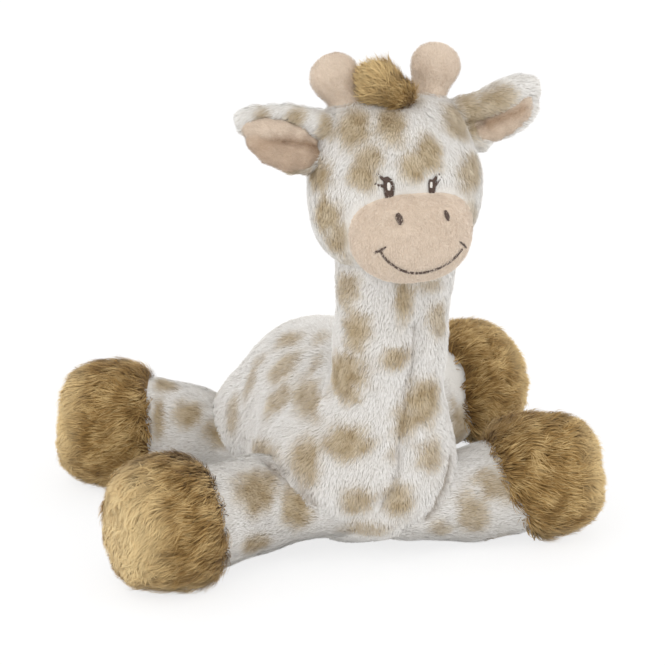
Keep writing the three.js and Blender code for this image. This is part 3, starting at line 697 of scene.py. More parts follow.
def growPile(name, skin, settings, finish, mapCentre=None):
    centre = pointsOf(skin).mean(0) if mapCentre is None else mapCentre
    pile = madeBy(pileNodes, name, bpy.data.objects.new(name + "Maker", skin.data), {
        "Per mm2": settings["perMm2"] * 1, "Length": settings["length"] * mm,
        "Width": settings["width"] * mm, "Lean": math.radians(settings["lean"]),
        "Curl": math.radians(settings["curl"]), "Rows": settings["rows"], "Wander": settings["wander"],
        "Wander Size": 1000 / settings["wanderSize"], "Stray": settings["stray"], "Seed": settings["seed"],
        "Map Centre": tuple(np.asarray(centre) * mm), "Finish": finish,
    })
    print("  ", name, len(pile.data.polygons), "faces")
    return pile


def sewOn(name, skin, strokes, finish, lift=0.0):
    # each stroke is a run of (x, y, width) in pixels, crossed by stitches from side to side
    search = treeOf(skin)
    places, ways, stands, spans = [], [], [], []
    slant = math.radians(stitchSet["slant"])
    for stroke in strokes:
        line = np.asarray(stroke, float)
        runs = np.linalg.norm(np.diff(line[:, :2], axis=0), axis=1)
        far = np.concatenate([[0], np.cumsum(runs)])
        for here in np.linspace(0, far[-1], max(int(far[-1] / stitchSet["apart"]), 1) + 1):
            x, y, width = (np.interp(here, far, line[:, k]) for k in range(3))
            k = min(np.searchsorted(far, here, "right"), len(runs)) - 1
            dx, dy = (line[k + 1, :2] - line[k, :2]) / max(runs[k], 1e-6)
            dx, dy = dx * math.cos(slant) - dy * math.sin(slant), dx * math.sin(slant) + dy * math.cos(slant)
            first, normal = sightOn(search, x - dy * width / 2, y + dx * width / 2)
            last, _ = sightOn(search, x + dy * width / 2, y - dx * width / 2)
            if first is None or last is None:
                continue
            places.append((first + last) / 2 + normal * (stitchSet["lift"] + lift))
            ways.append(last - first)
            stands.append(normal)
            spans.append((np.linalg.norm(last - first) + stitchSet["thread"] * 0.5) * mm)
    mesh = bpy.data.meshes.new(name)
    mesh.from_pydata((np.array(places) * mm).tolist(), [], [])
    maker = bpy.data.objects.new(name + "Maker", mesh)
    for key, values in (("way", unit(ways)), ("stand", stands), ("span", spans)):
        note(maker, key, values)
    sewn = madeBy(stitchNodes, name, maker, {"Thread": stitchSet["thread"] * mm, "Finish": finish})
    for key in ("way", "stand", "span"):
        if key in sewn.data.attributes:
            sewn.data.attributes.remove(sewn.data.attributes[key])
    print("  ", name, len(places), "stitches")
    return sewn


foldWidth = 1.7  # how far a groove's shade reaches, in mm


def press(thing, pixels, depth, width, dark=1.0):  # a groove along a run of pixels
    search = treeOf(thing)
    line = [place for place, _ in (sightOn(search, *pixel) for pixel in pixels) if place is not None]
    points, normals = pointsOf(thing), normalsOf(thing)
    far = nearLine(points, line)
    setPoints(thing, points - normals * (depth * np.exp(-((far / width) ** 2)))[:, None])
    # the colour along the groove is darkened as painted shade, as strongly as dark says
    folded = np.zeros(len(points), np.float32)
    if "folded" in thing.data.attributes:
        thing.data.attributes["folded"].data.foreach_get("value", folded)
    note(thing, "folded", np.maximum(folded, dark * np.exp(-((far / foldWidth) ** 2))))


def combed(thing, way):  # the comb direction laid into the skin
    normals = normalsOf(thing)
    way = np.asarray(way, float)
    if way.ndim == 1:
        way = np.tile(way, (len(normals), 1))
    note(thing, "comb", unit(way - (way * normals).sum(1)[:, None] * normals))


# Spots: each is a soft patch on the skin. The first ones are placed by where the picture shows them
spotSet = {
    "edge": 0.95, "blot": 0.16, "blotSize": 9, "depth": 12, "apart": 25, "long": (9, 14), "short": (6.5, 9.5),
    "strength": (0.7, 1), "turnedAway": -0.26, "sideways": 0.5, "tries": 6000,
}


def treeOf(thing):
    return BVHTree.FromPolygons([Vector(p) for p in pointsOf(thing)],
                                [tuple(f.vertices) for f in thing.data.polygons])


def sightOn(search, x, y):
    eye, way = rayAt(x, y)
    place, normal, _, _ = search.ray_cast(Vector(eye), Vector(way))
    return (None, None) if place is None else (np.array(place), np.array(normal))


def patchAt(search, x, y, halfWide, halfHigh, degrees=0, strength=1):
    place, normal = sightOn(search, x, y)
    if place is None:
        return None
    scale = focalPixels / ((viewEye - place) @ viewBack)
    a = math.radians(degrees)
    wide = math.cos(a) * viewRight + math.sin(a) * viewUp
    high = -math.sin(a) * viewRight + math.cos(a) * viewUp
    facing = max(normal @ viewBack, 0.3)
    lines = [(line - (line @ normal) / facing * viewBack) * half / scale
             for line, half in ((wide, halfWide), (high, halfHigh))]
    return place, np.stack([lines[0], lines[1], normal * spotSet["depth"]], 1), strength


def patchShare(points, patches, seed):
    total = np.zeros(len(points))
    blot = ripple(points, spotSet["blotSize"], seed) * spotSet["blot"]
    for place, frameOf, strength in patches:
        inside = np.linalg.norm(np.linalg.solve(frameOf, (points - place).T), axis=0) + blot
        share = np.clip((1 + spotSet["edge"] / 2 - inside) / spotSet["edge"], 0, 1)
        total = np.maximum(total, share * share * (3 - 2 * share) * strength)
    return total


def paintSpots(thing, pictured, seed):
    points, normals, search = pointsOf(thing), normalsOf(thing), treeOf(thing)
    patches = [p for p in (patchAt(search, *row) for row in pictured) if p is not None]
    # what the camera doesn't see is filled with more of the same
    dice = np.random.default_rng(seed)
    toEye = unit(viewEye - points)
    facing = (normals * toEye).sum(1)
    away = np.flatnonzero(facing < spotSet["sideways"])
    dice.shuffle(away)
    centres = [p[0] for p in patches]
    for index in away[:spotSet["tries"]]:
        here = points[index]
        if not all(np.linalg.norm(here - c) > spotSet["apart"] for c in centres):
            continue
        if facing[index] > spotSet["turnedAway"] and search.ray_cast(
                Vector(here + normals[index]), Vector(toEye[index]))[0] is None:
            continue  # the camera sees this place
        line = unit(np.cross(normals[index], dice.normal(size=3)))
        cross = np.cross(normals[index], line)
        sizes = dice.uniform(*spotSet["long"]), dice.uniform(*spotSet["short"])
        frameOf = np.stack([line * sizes[0], cross * sizes[1], normals[index] * spotSet["depth"]], 1)
        patches.append((here, frameOf, dice.uniform(*spotSet["strength"])))
        centres.append(here)
    note(thing, "spot", patchShare(points, patches, seed))


def settle(piece, body, stands=()):
    if isinstance(body, str):
        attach(piece, body)
    else:
        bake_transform(piece)
    if stands:
        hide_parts(*stands)


shortPile = {
    "perMm2": 3.4, "length": 3.1, "width": 0.36, "lean": 38, "curl": 34, "rows": 3, "wander": 1.1,
    "wanderSize": 8, "stray": 0.22, "seed": 3,
}
velvetPile = {
    "perMm2": 4.5, "length": 1.5, "width": 0.26, "lean": 30, "curl": 30, "rows": 3, "wander": 2.2,
    "wanderSize": 6, "stray": 0.4, "seed": 4,
}
longPile = {
    "perMm2": 3.7, "length": 10.5, "width": 0.5, "lean": 30, "curl": 46, "rows": 4, "wander": 3.8,
    "wanderSize": 8, "stray": 0.32, "seed": 5,
}


def groom(skin, way, shown=1, reach=1):  # how the pile lies, where it grows and how long it is
    combed(skin, way)
    note(skin, "shown", shown)
    note(skin, "reach", reach)


def velvetOn(name, skin, way, shown=1):
    groom(skin, way, shown)
    return growPile(name, skin, velvetPile, velboaPile)


# Body: the torso with its chest, and the neck that bends at its foot
print("body")
hipPlaces = {"front": (37, -51.4), "rear": (40, 43.6)}
frontCreases = {  # in pixels, where the front legs are sewn to the chest
    "right_front": ((258, 452), (267, 460), (275, 467), (285, 474), (295, 481), (306, 491), (314, 501)),
    "left_front": ((450, 455), (448, 468), (445, 482), (440, 494), (435, 505), (426, 518)),
}
bodySet = {
    "torso": (8, 0.6, 30), "yaw": 5, "halfLength": 79, "halfWidth": 46.5, "rise": 60.5, "drop": 30, "blunt": 0.72,
    "swell": (0.9, 0.9, 0.95, 1, 1.02, 1.01, 0.96), "chest": (12.5, -51.4, 47.8), "chestHalf": (36.2, 34.5, 30),
    "chestBlunt": 0.5, "chestSwell": (0.9, 1, 1.04, 1, 0.95, 0.9, 0.84), "neckFoot": (13, -51.4, 74),
    "neckTop": (16.4, -57, 158), "neckRadii": (27, 29.6), "neckWaist": (14.8, -53, 104), "waistRadius": 25.5,
    "neckMelt": 8, "inset": 2.0, "voxel": 3.2, "fill": 0.85, "haunches": (
        ((-17, -47, 40), 24), ((-26.5, 34, 35.5), 22.4), ((30, 38, 38), 22), ((0, -36, 18), 17),
        ((31, -43.5, 19.5), 16.5), ((-17, -19, 36), 22.5)),
    "melts": (12, 10, 14, 14, 14, 18, 18, 16), "torsoBall": ((6.5, 0.6, 40), (46, 77, 42)),
    "chestBall": ((11, -51.4, 46), (36, 29, 38)), "neckBalls": 8, "neckBall": 26, "pressure": 0.8,
    "seamPinned": 3, "legHeight": 24, "legPinned": (26, 2.5), "floorPinned": 1, "neckPinned": 150,
    "seamPress": (3.4, 3.2, 0.35), "legPress": (2.0, 2.6),
    "seam": ((416, 325), (416, 352), (411, 375), (403, 430), (400, 460), (394, 490), (378, 510)),
    "blendBelow": 16, "blendAbove": 26,
}
yaw = math.radians(bodySet["yaw"])
torsoAlong = np.array((-math.sin(yaw), math.cos(yaw), 0))
torsoAxes = (torsoAlong, np.array((math.cos(yaw), math.sin(yaw), 0)), up)
neckFoot, neckTop = np.array(bodySet["neckFoot"], float), np.array(bodySet["neckTop"], float)
torsoForm = roundField(bodySet["torso"], torsoAxes, bodySet["halfLength"], bodySet["halfWidth"], bodySet["rise"],
                       bodySet["drop"], bodySet["blunt"], bodySet["swell"])
chestAxes = (up, np.array((1.0, 0, 0)), np.array((0, -1.0, 0)))
chestTall, chestWide, chestDeep = bodySet["chestHalf"]
chestForm = roundField(bodySet["chest"], chestAxes, chestTall, chestWide, chestDeep, chestDeep,
                       bodySet["chestBlunt"], bodySet["chestSwell"])
neckForm = joined([rodField(neckFoot, bodySet["neckWaist"], bodySet["neckRadii"][0], bodySet["waistRadius"]),
                   rodField(bodySet["neckWaist"], neckTop, bodySet["waistRadius"], bodySet["neckRadii"][1])],
                  [bodySet["neckMelt"]])
trunkForm = joined([torsoForm, chestForm, neckForm, *(moundField(*haunch) for haunch in bodySet["haunches"])],
                   bodySet["melts"])
neckLine = [neckFoot + (neckTop - neckFoot) * share for share in np.linspace(0, 1, bodySet["neckBalls"])]
trunk = softForm("trunkSkin", [(*bodySet["torsoBall"], torsoAxes), (*bodySet["chestBall"], plainAxes)]
                 + beads(neckLine, bodySet["neckBall"]), drawnIn(trunkForm, bodySet["inset"]), bodySet["voxel"],
                 plushSkin)
rested(trunk)
trunkPoints = pointsOf(trunk)
seamPlaces = [sightOn(treeOf(trunk), *pixel)[0] for pixel in bodySet["seam"]]
legRoots = [np.array((sign * x, y, bodySet["legHeight"])) for sign in (1, -1) for x, y in hipPlaces.values()]
nearLegs = np.min([np.linalg.norm(trunkPoints - place, axis=1) for place in legRoots], 0)
legRing, ringHalf = bodySet["legPinned"]
puffed(trunk, (nearLine(trunkPoints, seamPlaces) < bodySet["seamPinned"]) | (np.abs(nearLegs - legRing) < ringHalf)
       | (trunkPoints[:, 2] < bodySet["floorPinned"]) | (trunkPoints[:, 2] > bodySet["neckPinned"]),
       bodySet["pressure"])
rested(trunk)
press(trunk, bodySet["seam"], *bodySet["seamPress"])
for line in frontCreases.values():
    press(trunk, line, *bodySet["legPress"])

# Head
print("head")
headSet = {
    "centre": (14.6, -58.4, 181), "half": (40.5, 38, 40), "blunt": 0.9, "inset": 2.0, "voxel": 2.6, "fill": 0.9,
    "aside": 1.6, "ball": (38, 36, 38), "bump": (18, 6, 25), "bumpRadius": 14, "cheek": (13.2, -2, -12),
    "cheekRadius": 25.2, "melts": (14, 14, 4, 4), "knobRoot": (17.5, 7, 32), "earRoot": (34, 0, 22),
    "rootPinned": (10, 2), "muzzlePinned": 2.5, "trunkPinned": 1, "pressure": 0.6,
}
muzzleSet = {
    "centre": (13, -84.4, 169), "half": (27.5, 25), "rise": 20.8, "drop": 23.5, "blunt": 0.85, "swell": (0.96, 1, 1),
    "square": 2.35, "inset": 0.3, "voxel": 1.8, "ball": (26, 24, 22), "headPinned": 0.5, "pressure": 0.8,
}
headCentre = np.array(headSet["centre"], float) - np.array((headSet["aside"], 0, 0))


def onHead(place, sideSign=1):  # a place told from the middle of the head
    return headCentre + np.array(place) * (sideSign, 1, 1)


halfAcross, halfAlong, halfHigh = headSet["half"]
headForm = joined([
    roundField(headSet["centre"], plainAxes, halfAlong, halfAcross, halfHigh, halfHigh, headSet["blunt"], (1, 1)),
    *(moundField(onHead(headSet["bump"], sign), headSet["bumpRadius"]) for sign in (1, -1)),
    *(moundField(onHead(headSet["cheek"], sign), headSet["cheekRadius"]) for sign in (1, -1))], headSet["melts"])
head = softForm("headSkin", [(headSet["centre"], headSet["ball"], plainAxes)],
                drawnIn(headForm, headSet["inset"]), headSet["voxel"], plushSkin)
headPoints = pointsOf(head)
roots = [onHead(headSet[part], sign) for part in ("knobRoot", "earRoot") for sign in (1, -1)]
nearRoots = np.min([np.linalg.norm(headPoints - place, axis=1) for place in roots], 0)
muzzleForm = roundField(muzzleSet["centre"], plainAxes, muzzleSet["half"][1], muzzleSet["half"][0], muzzleSet["rise"],
                        muzzleSet["drop"], muzzleSet["blunt"], muzzleSet["swell"], muzzleSet["square"])
muzzle = softForm("muzzleSkin", [(muzzleSet["centre"], muzzleSet["ball"], plainAxes)],
                  drawnIn(muzzleForm, muzzleSet["inset"]), muzzleSet["voxel"], velboa)
rootRing, ringHalf = headSet["rootPinned"]
puffed(head, (np.abs(nearRoots - rootRing) < ringHalf) | (np.abs(muzzleForm(headPoints)) < headSet["muzzlePinned"])
       | (trunkForm(headPoints) < headSet["trunkPinned"]), headSet["pressure"])
puffed(muzzle, headForm(pointsOf(muzzle)) < muzzleSet["headPinned"], muzzleSet["pressure"])

# Each stroke is a run of x, y and width in pixels
faceStitches = {
    "right_eye": ([[(386, 177.5, 5), (388, 181, 10.5), (388.8, 185, 12.6), (389, 189, 12.8), (388.8, 193, 11.6),
                    (388.8, 197, 9), (389, 201, 4.6)],
                   [(387, 182, 3.4), (383, 179, 3.6), (377.5, 174, 1.8)],
                   [(386, 186.4, 3.4), (381, 185.8, 3), (375.3, 184, 1.5)]], "head"),
    "left_eye": ([[(431.6, 180, 6.4), (431.8, 184, 8.8), (431.6, 188, 8.8), (431.2, 192, 7), (431, 195.5, 3.6)],
                  [(433.4, 181, 3.4), (436, 176.8, 3), (439.6, 173.4, 1.6)],
                  [(434.6, 185, 3.2), (438, 181, 2.6), (442, 177, 1.4)]],
                 "head"),
    "right_nostril": ([[(398, 213.8, 3), (398.8, 216.6, 7), (399.6, 219.6, 8.2), (400, 222.4, 6), (400, 224.6, 2.8)]],
                      "muzzle"),
    "left_nostril": ([[(445, 211.2, 2.4), (446, 214, 4.6), (447, 217, 5), (447.6, 220.6, 2.6)]], "muzzle"),
    "smile": ([[(379.5, 249, 2), (384, 256.5, 2.4), (390, 262.6, 2.5), (400, 269, 2.5), (408, 271.8, 2.4),
                (416, 272.6, 2.4),
                (424, 272, 2.3), (432, 270, 2.3), (440, 267, 2.2), (448, 262.6, 2.1), (455, 257, 2),
                (461.4, 249, 1.9)],
               [(374.5, 252.4, 1.4), (378, 251.4, 3), (382, 249.6, 3), (386, 247, 1.4)],
               [(459.5, 241.5, 1.4), (462.5, 244, 2.6), (465.5, 247.5, 1.4)]], "muzzle"),
}
glintStitches = {"right_eye": [(388.8, 183, 2.4), (389, 184.8, 3.8), (389, 187.2, 4), (389, 189.6, 2.4)],
                 "left_eye": [(430.6, 182.4, 1.6), (430.4, 184.6, 2.8), (430.3, 187, 2.4)]}

trunkSpots = [  # x, y, half width, half height in pixels, turn in degrees, strength
    (347, 287, 12, 17, 0, 0.85), (404, 297, 9, 22, 0), (430, 283, 12, 7, 0, 0.7), (437, 318, 9, 18, 0, 0.75),
    (357, 327, 13, 20, 0), (344, 371, 18, 21, 0), (350, 394, 10, 9, 0, 0.9), (396, 356, 15, 11, 15, 0.95),
    (424, 398, 16, 24, -8), (402, 420, 10, 16, 0, 0.95), (348, 440, 23, 18, 0), (312, 400, 12, 18, -15, 0.85),
    (291, 340, 14, 6, 20, 0.8), (322, 340, 9, 6, 30, 0.5), (285, 367, 19, 8, 42, 0.8), (280, 400, 19, 9, 50, 0.8),
    (253, 380, 19, 4, 68, 0.65), (262, 360, 10, 4, 40, 0.45), (234, 413, 6, 18, -6, 0.7), (318, 365, 4, 14, -25, 0.6),
    (307, 457, 14, 24, 0, 0.95), (268, 449, 13, 9, -20, 0.75), (357, 500, 17, 14, 0, 0.9),
    (398, 497, 13, 19, 0, 0.95),
    (368, 527, 24, 8, 0, 0.7), (429, 452, 12, 16, 0, 0.85), (392, 452, 6, 9, 0, 0.5), (436, 528, 12, 7, 0, 0.7),
]
headSpots = [
    (355, 127, 15, 22, 0), (391, 122, 15, 20, 0), (370, 158, 12, 17, -25, 0.95), (363, 174, 15, 14, 0),
    (413, 164, 14, 14, 0),
    (428, 151, 12, 18, 15), (470, 170, 11, 20, 0, 0.9), (320, 172, 10, 17, 0), (327, 212, 13, 18, 0),
    (336, 238, 11, 17, 10, 0.9),
    (345, 262, 8, 9, 0, 0.5), (455, 120, 13, 19, 15, 0.9), (417, 98, 5, 8, 0, 0.4), (332, 128, 7, 12, 0, 0.7),
    (472, 215, 6, 14, 0, 0.6),
]
paintSpots(trunk, trunkSpots, 21)
paintSpots(head, headSpots, 22)
trunkPoints, headPoints = pointsOf(trunk), pointsOf(head)
muzzleInside = muzzleForm(headPoints)
headSearch = treeOf(head)
bare = np.ones(len(headPoints))  # the pile is cut short round the eyes
for name in ("right_eye", "left_eye"):
    line = [sightOn(headSearch, x, y)[0] for x, y, _ in faceStitches[name][0][0]]
    bare = np.minimum(bare, np.clip((nearLine(headPoints, [p for p in line if p is not None]) - 1.8) / 2.2, 0, 1))
groom(trunk, (0, 0.35, -1))
groom(head, (0, 0, -1), np.clip((muzzleInside - 0.5) / 1.5, 0, 1) * (bare > 0.12),
      np.minimum(np.clip(0.35 + muzzleInside / 8, 0.35, 1), 0.35 + 0.65 * bare))

print("pile")
outsideHead = headForm(trunkPoints) > -3
neckSplit, chestSplit = 76, -8
onNeck, onChest = trunkPoints[:, 2] >= neckSplit, trunkPoints[:, 1] < chestSplit
trunkPiles = []
for name, part, seed in (("rumpPile", ~onNeck & ~onChest, 3), ("chestPile", ~onNeck & onChest, 6),
                         ("neckPile", onNeck, 4)):
    note(trunk, "shown", outsideHead & part)
    trunkPiles.append(growPile(name, trunk, dict(shortPile, seed=seed), plushPile, trunkPoints[part].mean(0)))
headPile = growPile("headPile", head, shortPile, plushPile)
muzzlePile = velvetOn("muzzlePile", muzzle, (0, 0, -1), headForm(pointsOf(muzzle)) > -1.5)
for name, (strokes, ground) in faceStitches.items():
    sewn = sewOn(name + "Stitches", head if ground == "head" else muzzle, strokes, darkThread, 0.3)
    settle(sewn, "head", (name + "_embroidery",))
for name, stroke in glintStitches.items():
    sewn = sewOn(name + "Glint", head, [stroke], whiteThread, 0.75)
    settle(sewn, "head", (name + "_glint",))

# Legs and hooves
print("legs")
legSet = {
    "hipHeight": 24.5, "frontWay": (0.990, -0.139), "rearWay": (0.946, 0.326), "length": 36, "hoofLength": 47,
    "climb": 5.5, "rearRoot": (22, 37, 21), "rootRadius": 17.4, "kneeAhead": 18, "kneeLevel": 23.5, "melt": 6,
    # places that the picture gives: the front legs run over the chest
    "drawnRoot": {"right_front": (-11.6, -53.5, 32.5), "left_front": (24, -59.5, 26), "left_rear": (22, 33, 21)},
    "drawnKnee": {"right_front": (-46, -43.5, 26.2), "left_front": (55, -55, 22.2), "left_rear": (56, 42, 26)},
    "kneeRadius": {"left_front": 22, "right_front": 22.6, "left_rear": 25, "right_rear": 23.2},
    "cuffRadius": {"left_front": 25.4, "right_front": 25, "left_rear": 28.8, "right_rear": 25.6},
    "cuffRise": {"left_front": -2.2, "right_front": 0.5, "left_rear": -1.2, "right_rear": 1.1},
    "crease": {**frontCreases, "right_rear": ((217, 390), (223, 400), (228, 417), (232, 433), (237, 450))},
    "creasePress": (2.6, 2.6), "skirtReach": 30, "skirtDepth": 1.2, "skirtMelt": ((20, 34), (12, 0.8)),
    "ball": 20, "rootBall": 26, "inset": 1.8, "voxel": 2.8, "fill": 0.8, "cuffPinned": 5, "trunkPinned": 1,
    "blendBehind": 10, "blendAhead": 20,
}
hoofSet = {
    "start": {"left_front": -8, "right_front": -4, "left_rear": -8, "right_rear": -8},
    "radius": {"left_front": 28.8, "right_front": 30.8, "left_rear": 31.6, "right_rear": 31},
    "lean": {"left_front": 0.26, "right_front": -0.12, "left_rear": 0.34, "right_rear": -0.12},
    "end": {"left_front": 44.8, "right_front": 47.5, "left_rear": 49.5, "right_rear": 46},
    "blunt": 0.42, "swell": (1.04, 1.04, 1.02, 1, 0.97), "inset": 3.2, "ball": (24, 20, 24),
}
legSpots = {
    "right_front": [(257, 491, 18, 20, 30), (299, 508, 16, 21, 10), (258, 543, 14, 8, 20)],
    "right_rear": [(168, 386, 11, 6, -20), (160, 420, 7, 18, 0), (190, 415, 14, 12, 0), (222, 434, 12, 13, 0)],
    "left_front": [(493, 486, 24, 14, -20, 0.85), (470, 514, 15, 21, 20, 0.85), (474, 444, 10, 4, 20, 0.5)],
    "left_rear": [(458, 428, 10, 22, 0, 0.9)],
}
for name in ("left_front", "right_front", "left_rear", "right_rear"):
    sideSign = 1 if name.startswith("left") else -1
    key = "front" if name.endswith("front") else "rear"
    (hipAcross, hipAlong), flat, length = hipPlaces[key], legSet[key + "Way"], legSet["length"]
    hip = np.array((sideSign * hipAcross, hipAlong, legSet["hipHeight"]))
    span = length + legSet["hoofLength"] / 2
    out = unit(np.array((sideSign * flat[0], flat[1], 0)) * span + up * legSet["climb"])
    across = unit(np.cross(up, out))
    axes = (out, across, np.cross(out, across))
    cuff = hip + out * length
    cuffRadius, kneeRadius = legSet["cuffRadius"][name], legSet["kneeRadius"][name]
    if name in legSet["drawnRoot"]:
        root, knee = np.array(legSet["drawnRoot"][name]), np.array(legSet["drawnKnee"][name])
    else:
        root = np.array(legSet["rearRoot"]) * (sideSign, 1, 1)
        knee = hip + out * legSet["kneeAhead"] + up * (kneeRadius - legSet["kneeLevel"])
    limb = joined([rodField(root, knee, legSet["rootRadius"], kneeRadius),
                   rodField(knee, cuff + up * legSet["cuffRise"][name], kneeRadius, cuffRadius)], [legSet["melt"]])

    def skirt(points, middle=root):  # runs on under the skin of the trunk
        return np.maximum(trunkForm(points) + legSet["skirtDepth"],
                          np.linalg.norm(points - middle, axis=1) - legSet["skirtReach"])

    legForm = joined([limb, skirt], [lambda points: np.interp(points[:, 2], *legSet["skirtMelt"])])
    leg = softForm(name + "_legSkin", beads((root, (root + knee) / 2, knee, (knee + cuff) / 2, cuff), legSet["ball"])
                   + beads([root], legSet["rootBall"]), drawnIn(legForm, legSet["inset"]), legSet["voxel"], plushSkin)
    hoofStart, lean, hoofRadius = (hoofSet[part][name] for part in ("start", "lean", "radius"))
    hoofHalf = (hoofSet["end"][name] - hoofStart) / 2
    hoofMiddle = cuff + out * (hoofStart + hoofHalf)
    hoofForm = roundField(hoofMiddle, axes, hoofHalf, hoofRadius, hoofRadius, hoofRadius, hoofSet["blunt"],
                          hoofSet["swell"], lean=lean)
    hoof = softForm(name + "_hoofSkin", [(hoofMiddle, hoofSet["ball"], axes)],
                    drawnIn(hoofForm, hoofSet["inset"]), legSet["voxel"], goldSkin)
    rested(leg)
    rested(hoof)
    legPoints = pointsOf(leg)
    puffed(leg, ((legPoints - hip) @ out > length - legSet["cuffPinned"])
           | (trunkForm(legPoints) < legSet["trunkPinned"]) | (legPoints[:, 2] < bodySet["floorPinned"]))
    rested(leg)
    if name in legSet["crease"]:
        press(leg, legSet["crease"][name], *legSet["creasePress"])
    paintSpots(leg, legSpots[name] + (trunkSpots if key == "front" else []), 31 + len(name))
    legPoints = pointsOf(leg)
    aboveHoof = hoofForm(legPoints)
    groom(leg, out, (trunkForm(legPoints) > -2.2) & (aboveHoof > -1), np.clip(0.75 + aboveHoof / 10, 0.75, 1))
    hoofPoints = pointsOf(hoof)
    fromCuff = hoofPoints - cuff
    alongHoof = fromCuff @ out / legSet["hoofLength"]
    fromAxis = unit(fromCuff - (fromCuff @ out)[:, None] * out)
    atEnd = np.clip((alongHoof - 0.7) / 0.3, 0, 1)[:, None]
    atCuff = np.clip(1 - (alongHoof - hoofStart / legSet["hoofLength"]) / 0.3, 0, 1)[:, None]
    low = hoofPoints[:, 2]
    groom(hoof, out * (1 - 0.8 * atEnd) - up * (0.25 + 0.75 * atEnd) + fromAxis * atCuff,
          (legForm(hoofPoints) > -1.5) & (normalsOf(hoof) @ out > -0.8),
          np.clip(1.0 - 0.3 * alongHoof, 0.5, 1.0) * np.where(low < 4, 0.45, 1) * (1 - 0.25 * atCuff[:, 0]))
    # painted light: paler towards the hoof's outer end, where the hair tips catch the light, and low down, as light
    # thrown up from the floor
    note(hoof, "pale", np.maximum(np.clip((alongHoof - 0.55) / 0.35, 0, 1), np.clip((16 - low) / 16, 0, 0.7)))
    body = name + "_leg"
    legPile = growPile(name + "_legPile", leg, dict(shortPile, seed=40 + len(name)), plushPile)
    hoofPile = growPile(name + "_hoofPile", hoof, dict(longPile, seed=50 + len(name)), goldPile)
    sewnOn = ("torso", body, tuple((hip - out * legSet["blendBehind"]) * mm),
              tuple((hip + out * legSet["blendAhead"]) * mm))
    settle(leg, sewnOn, (name + "_leg_cover", name + "_leg_stuffing"))
    settle(hoof, body, (name + "_hoof_cover", name + "_hoof_stuffing"))
    settle(legPile, sewnOn)
    settle(hoofPile, body)

# Knobs and tuft
print("knobs and tuft")
knobSet = {
    "foot": {1: (17.5, 7, 32), -1: (16, 6, 32)}, "tip": {1: (27.4, 14.6, 58.6), -1: (26.6, 14.6, 57)}, "head": 10.9,
    "headHalf": 9.2, "blunt": 0.85, "stem": (8.4, 7.4), "melt": 5, "ball": (11, 9, 11), "stemBall": 8, "inset": 0.2,
    "voxel": 1.5, "fill": 0.9,
}
for name, sideSign in (("left", 1), ("right", -1)):
    foot, tip = (onHead(knobSet[part][sideSign], sideSign) for part in ("foot", "tip"))
    out = unit(tip - foot)
    across = unit(np.cross(out, (0, 1, 0)))
    axes = (out, across, np.cross(out, across))
    middle = tip - out * knobSet["headHalf"]
    thick = knobSet["head"]
    knobForm = joined([roundField(middle, axes, knobSet["headHalf"], thick, thick, thick, knobSet["blunt"], (1, 1)),
                       rodField(foot, middle, *knobSet["stem"])], [knobSet["melt"]])
    knob = softForm(name + "_knobSkin", [(middle, knobSet["ball"], axes)]
                    + beads([foot + (middle - foot) * s for s in (0, 0.4, 0.7)], knobSet["stemBall"]),
                    drawnIn(knobForm, knobSet["inset"]), knobSet["voxel"], velboa)
    settle(knob, "head", (name + "_knob_cover", name + "_knob_stuffing"))
    settle(velvetOn(name + "_knobPile", knob, out), "head")

tuftSet = {
    "pixels": ((383, 85), (402, 96.5)), "depthOf": (-1, -4, 42), "radii": (5.6, 4.4), "balls": (6, 5, 5),
    "voxel": 1.4, "fill": 0.5, "pile": {"perMm2": 17, "length": 9.6, "width": 0.34, "lean": 24, "curl": 42,
                                        "wander": 1.8, "wanderSize": 4, "stray": 0.6, "seed": 61},
}
tuftTip, tuftRoot = (facedAt(x, y, onHead(tuftSet["depthOf"])) for x, y in tuftSet["pixels"])
tuftBalls = [beads([place], radius)[0]
             for place, radius in zip((tuftTip, (tuftTip + tuftRoot) / 2, tuftRoot), tuftSet["balls"])]
tuft = softForm("tuftSkin", tuftBalls, rodField(tuftTip, tuftRoot, *tuftSet["radii"]), tuftSet["voxel"], goldSkin)
tuftWay = unit(tuftTip - tuftRoot)
alongTuft = (pointsOf(tuft) - tuftRoot) @ tuftWay / np.linalg.norm(tuftTip - tuftRoot)
groom(tuft, tuftWay, 1, np.clip(0.75 + 0.3 * alongTuft, 0.6, 1.05))
# painted light: paler towards the tuft's end, where the hair tips catch the light
note(tuft, "pale", np.clip(0.5 * alongTuft, 0, 0.7))
tuftPile = growPile("tuftPile", tuft, {**longPile, **tuftSet["pile"]}, goldPile)
settle(tuft, "head", ("crown_tuft",))
settle(tuftPile, "head")

# Tail
print("tail")
tailSet = {
    "root": (-0.12, 76.29, 44), "droop": 52, "radii": (4.4, 3.6), "length": 30, "ball": 4, "balls": 6, "voxel": 1.3,
    "tuftAhead": 6, "tuftHalf": (10, 4.5), "tuftBall": (4, 9, 4), "tuftBlunt": 0.9, "fill": 0.8, "tuftFill": 0.5,
    "spots": (18, 5), "spotShare": 0.5, "spotLevel": 0.3,
}
droop = math.radians(tailSet["droop"])
tailWay = unit(torsoAlong * math.cos(droop) - up * math.sin(droop))
tailRoot = np.array(tailSet["root"])
tailEnd = tailRoot + tailWay * tailSet["length"]
tail = softForm("tailSkin", beads([tailRoot + tailWay * d for d in np.linspace(0, tailSet["length"],
    tailSet["balls"])],
                                  tailSet["ball"]), rodField(tailRoot, tailEnd, *tailSet["radii"]),
                tailSet["voxel"], plushSkin)
tailAcross = unit(np.cross(up, tailWay))
tailAxes = (tailWay, tailAcross, np.cross(tailWay, tailAcross))
tailTuftCentre = tailEnd + tailWay * tailSet["tuftAhead"]
tuftLong, tuftThick = tailSet["tuftHalf"]
tailTuft = softForm("tailTuftSkin", [(tailTuftCentre, tailSet["tuftBall"], tailAxes)],
                    roundField(tailTuftCentre, tailAxes, tuftLong, tuftThick, tuftThick, tuftThick,
                               tailSet["tuftBlunt"], (1, 1)), tailSet["voxel"], goldSkin)
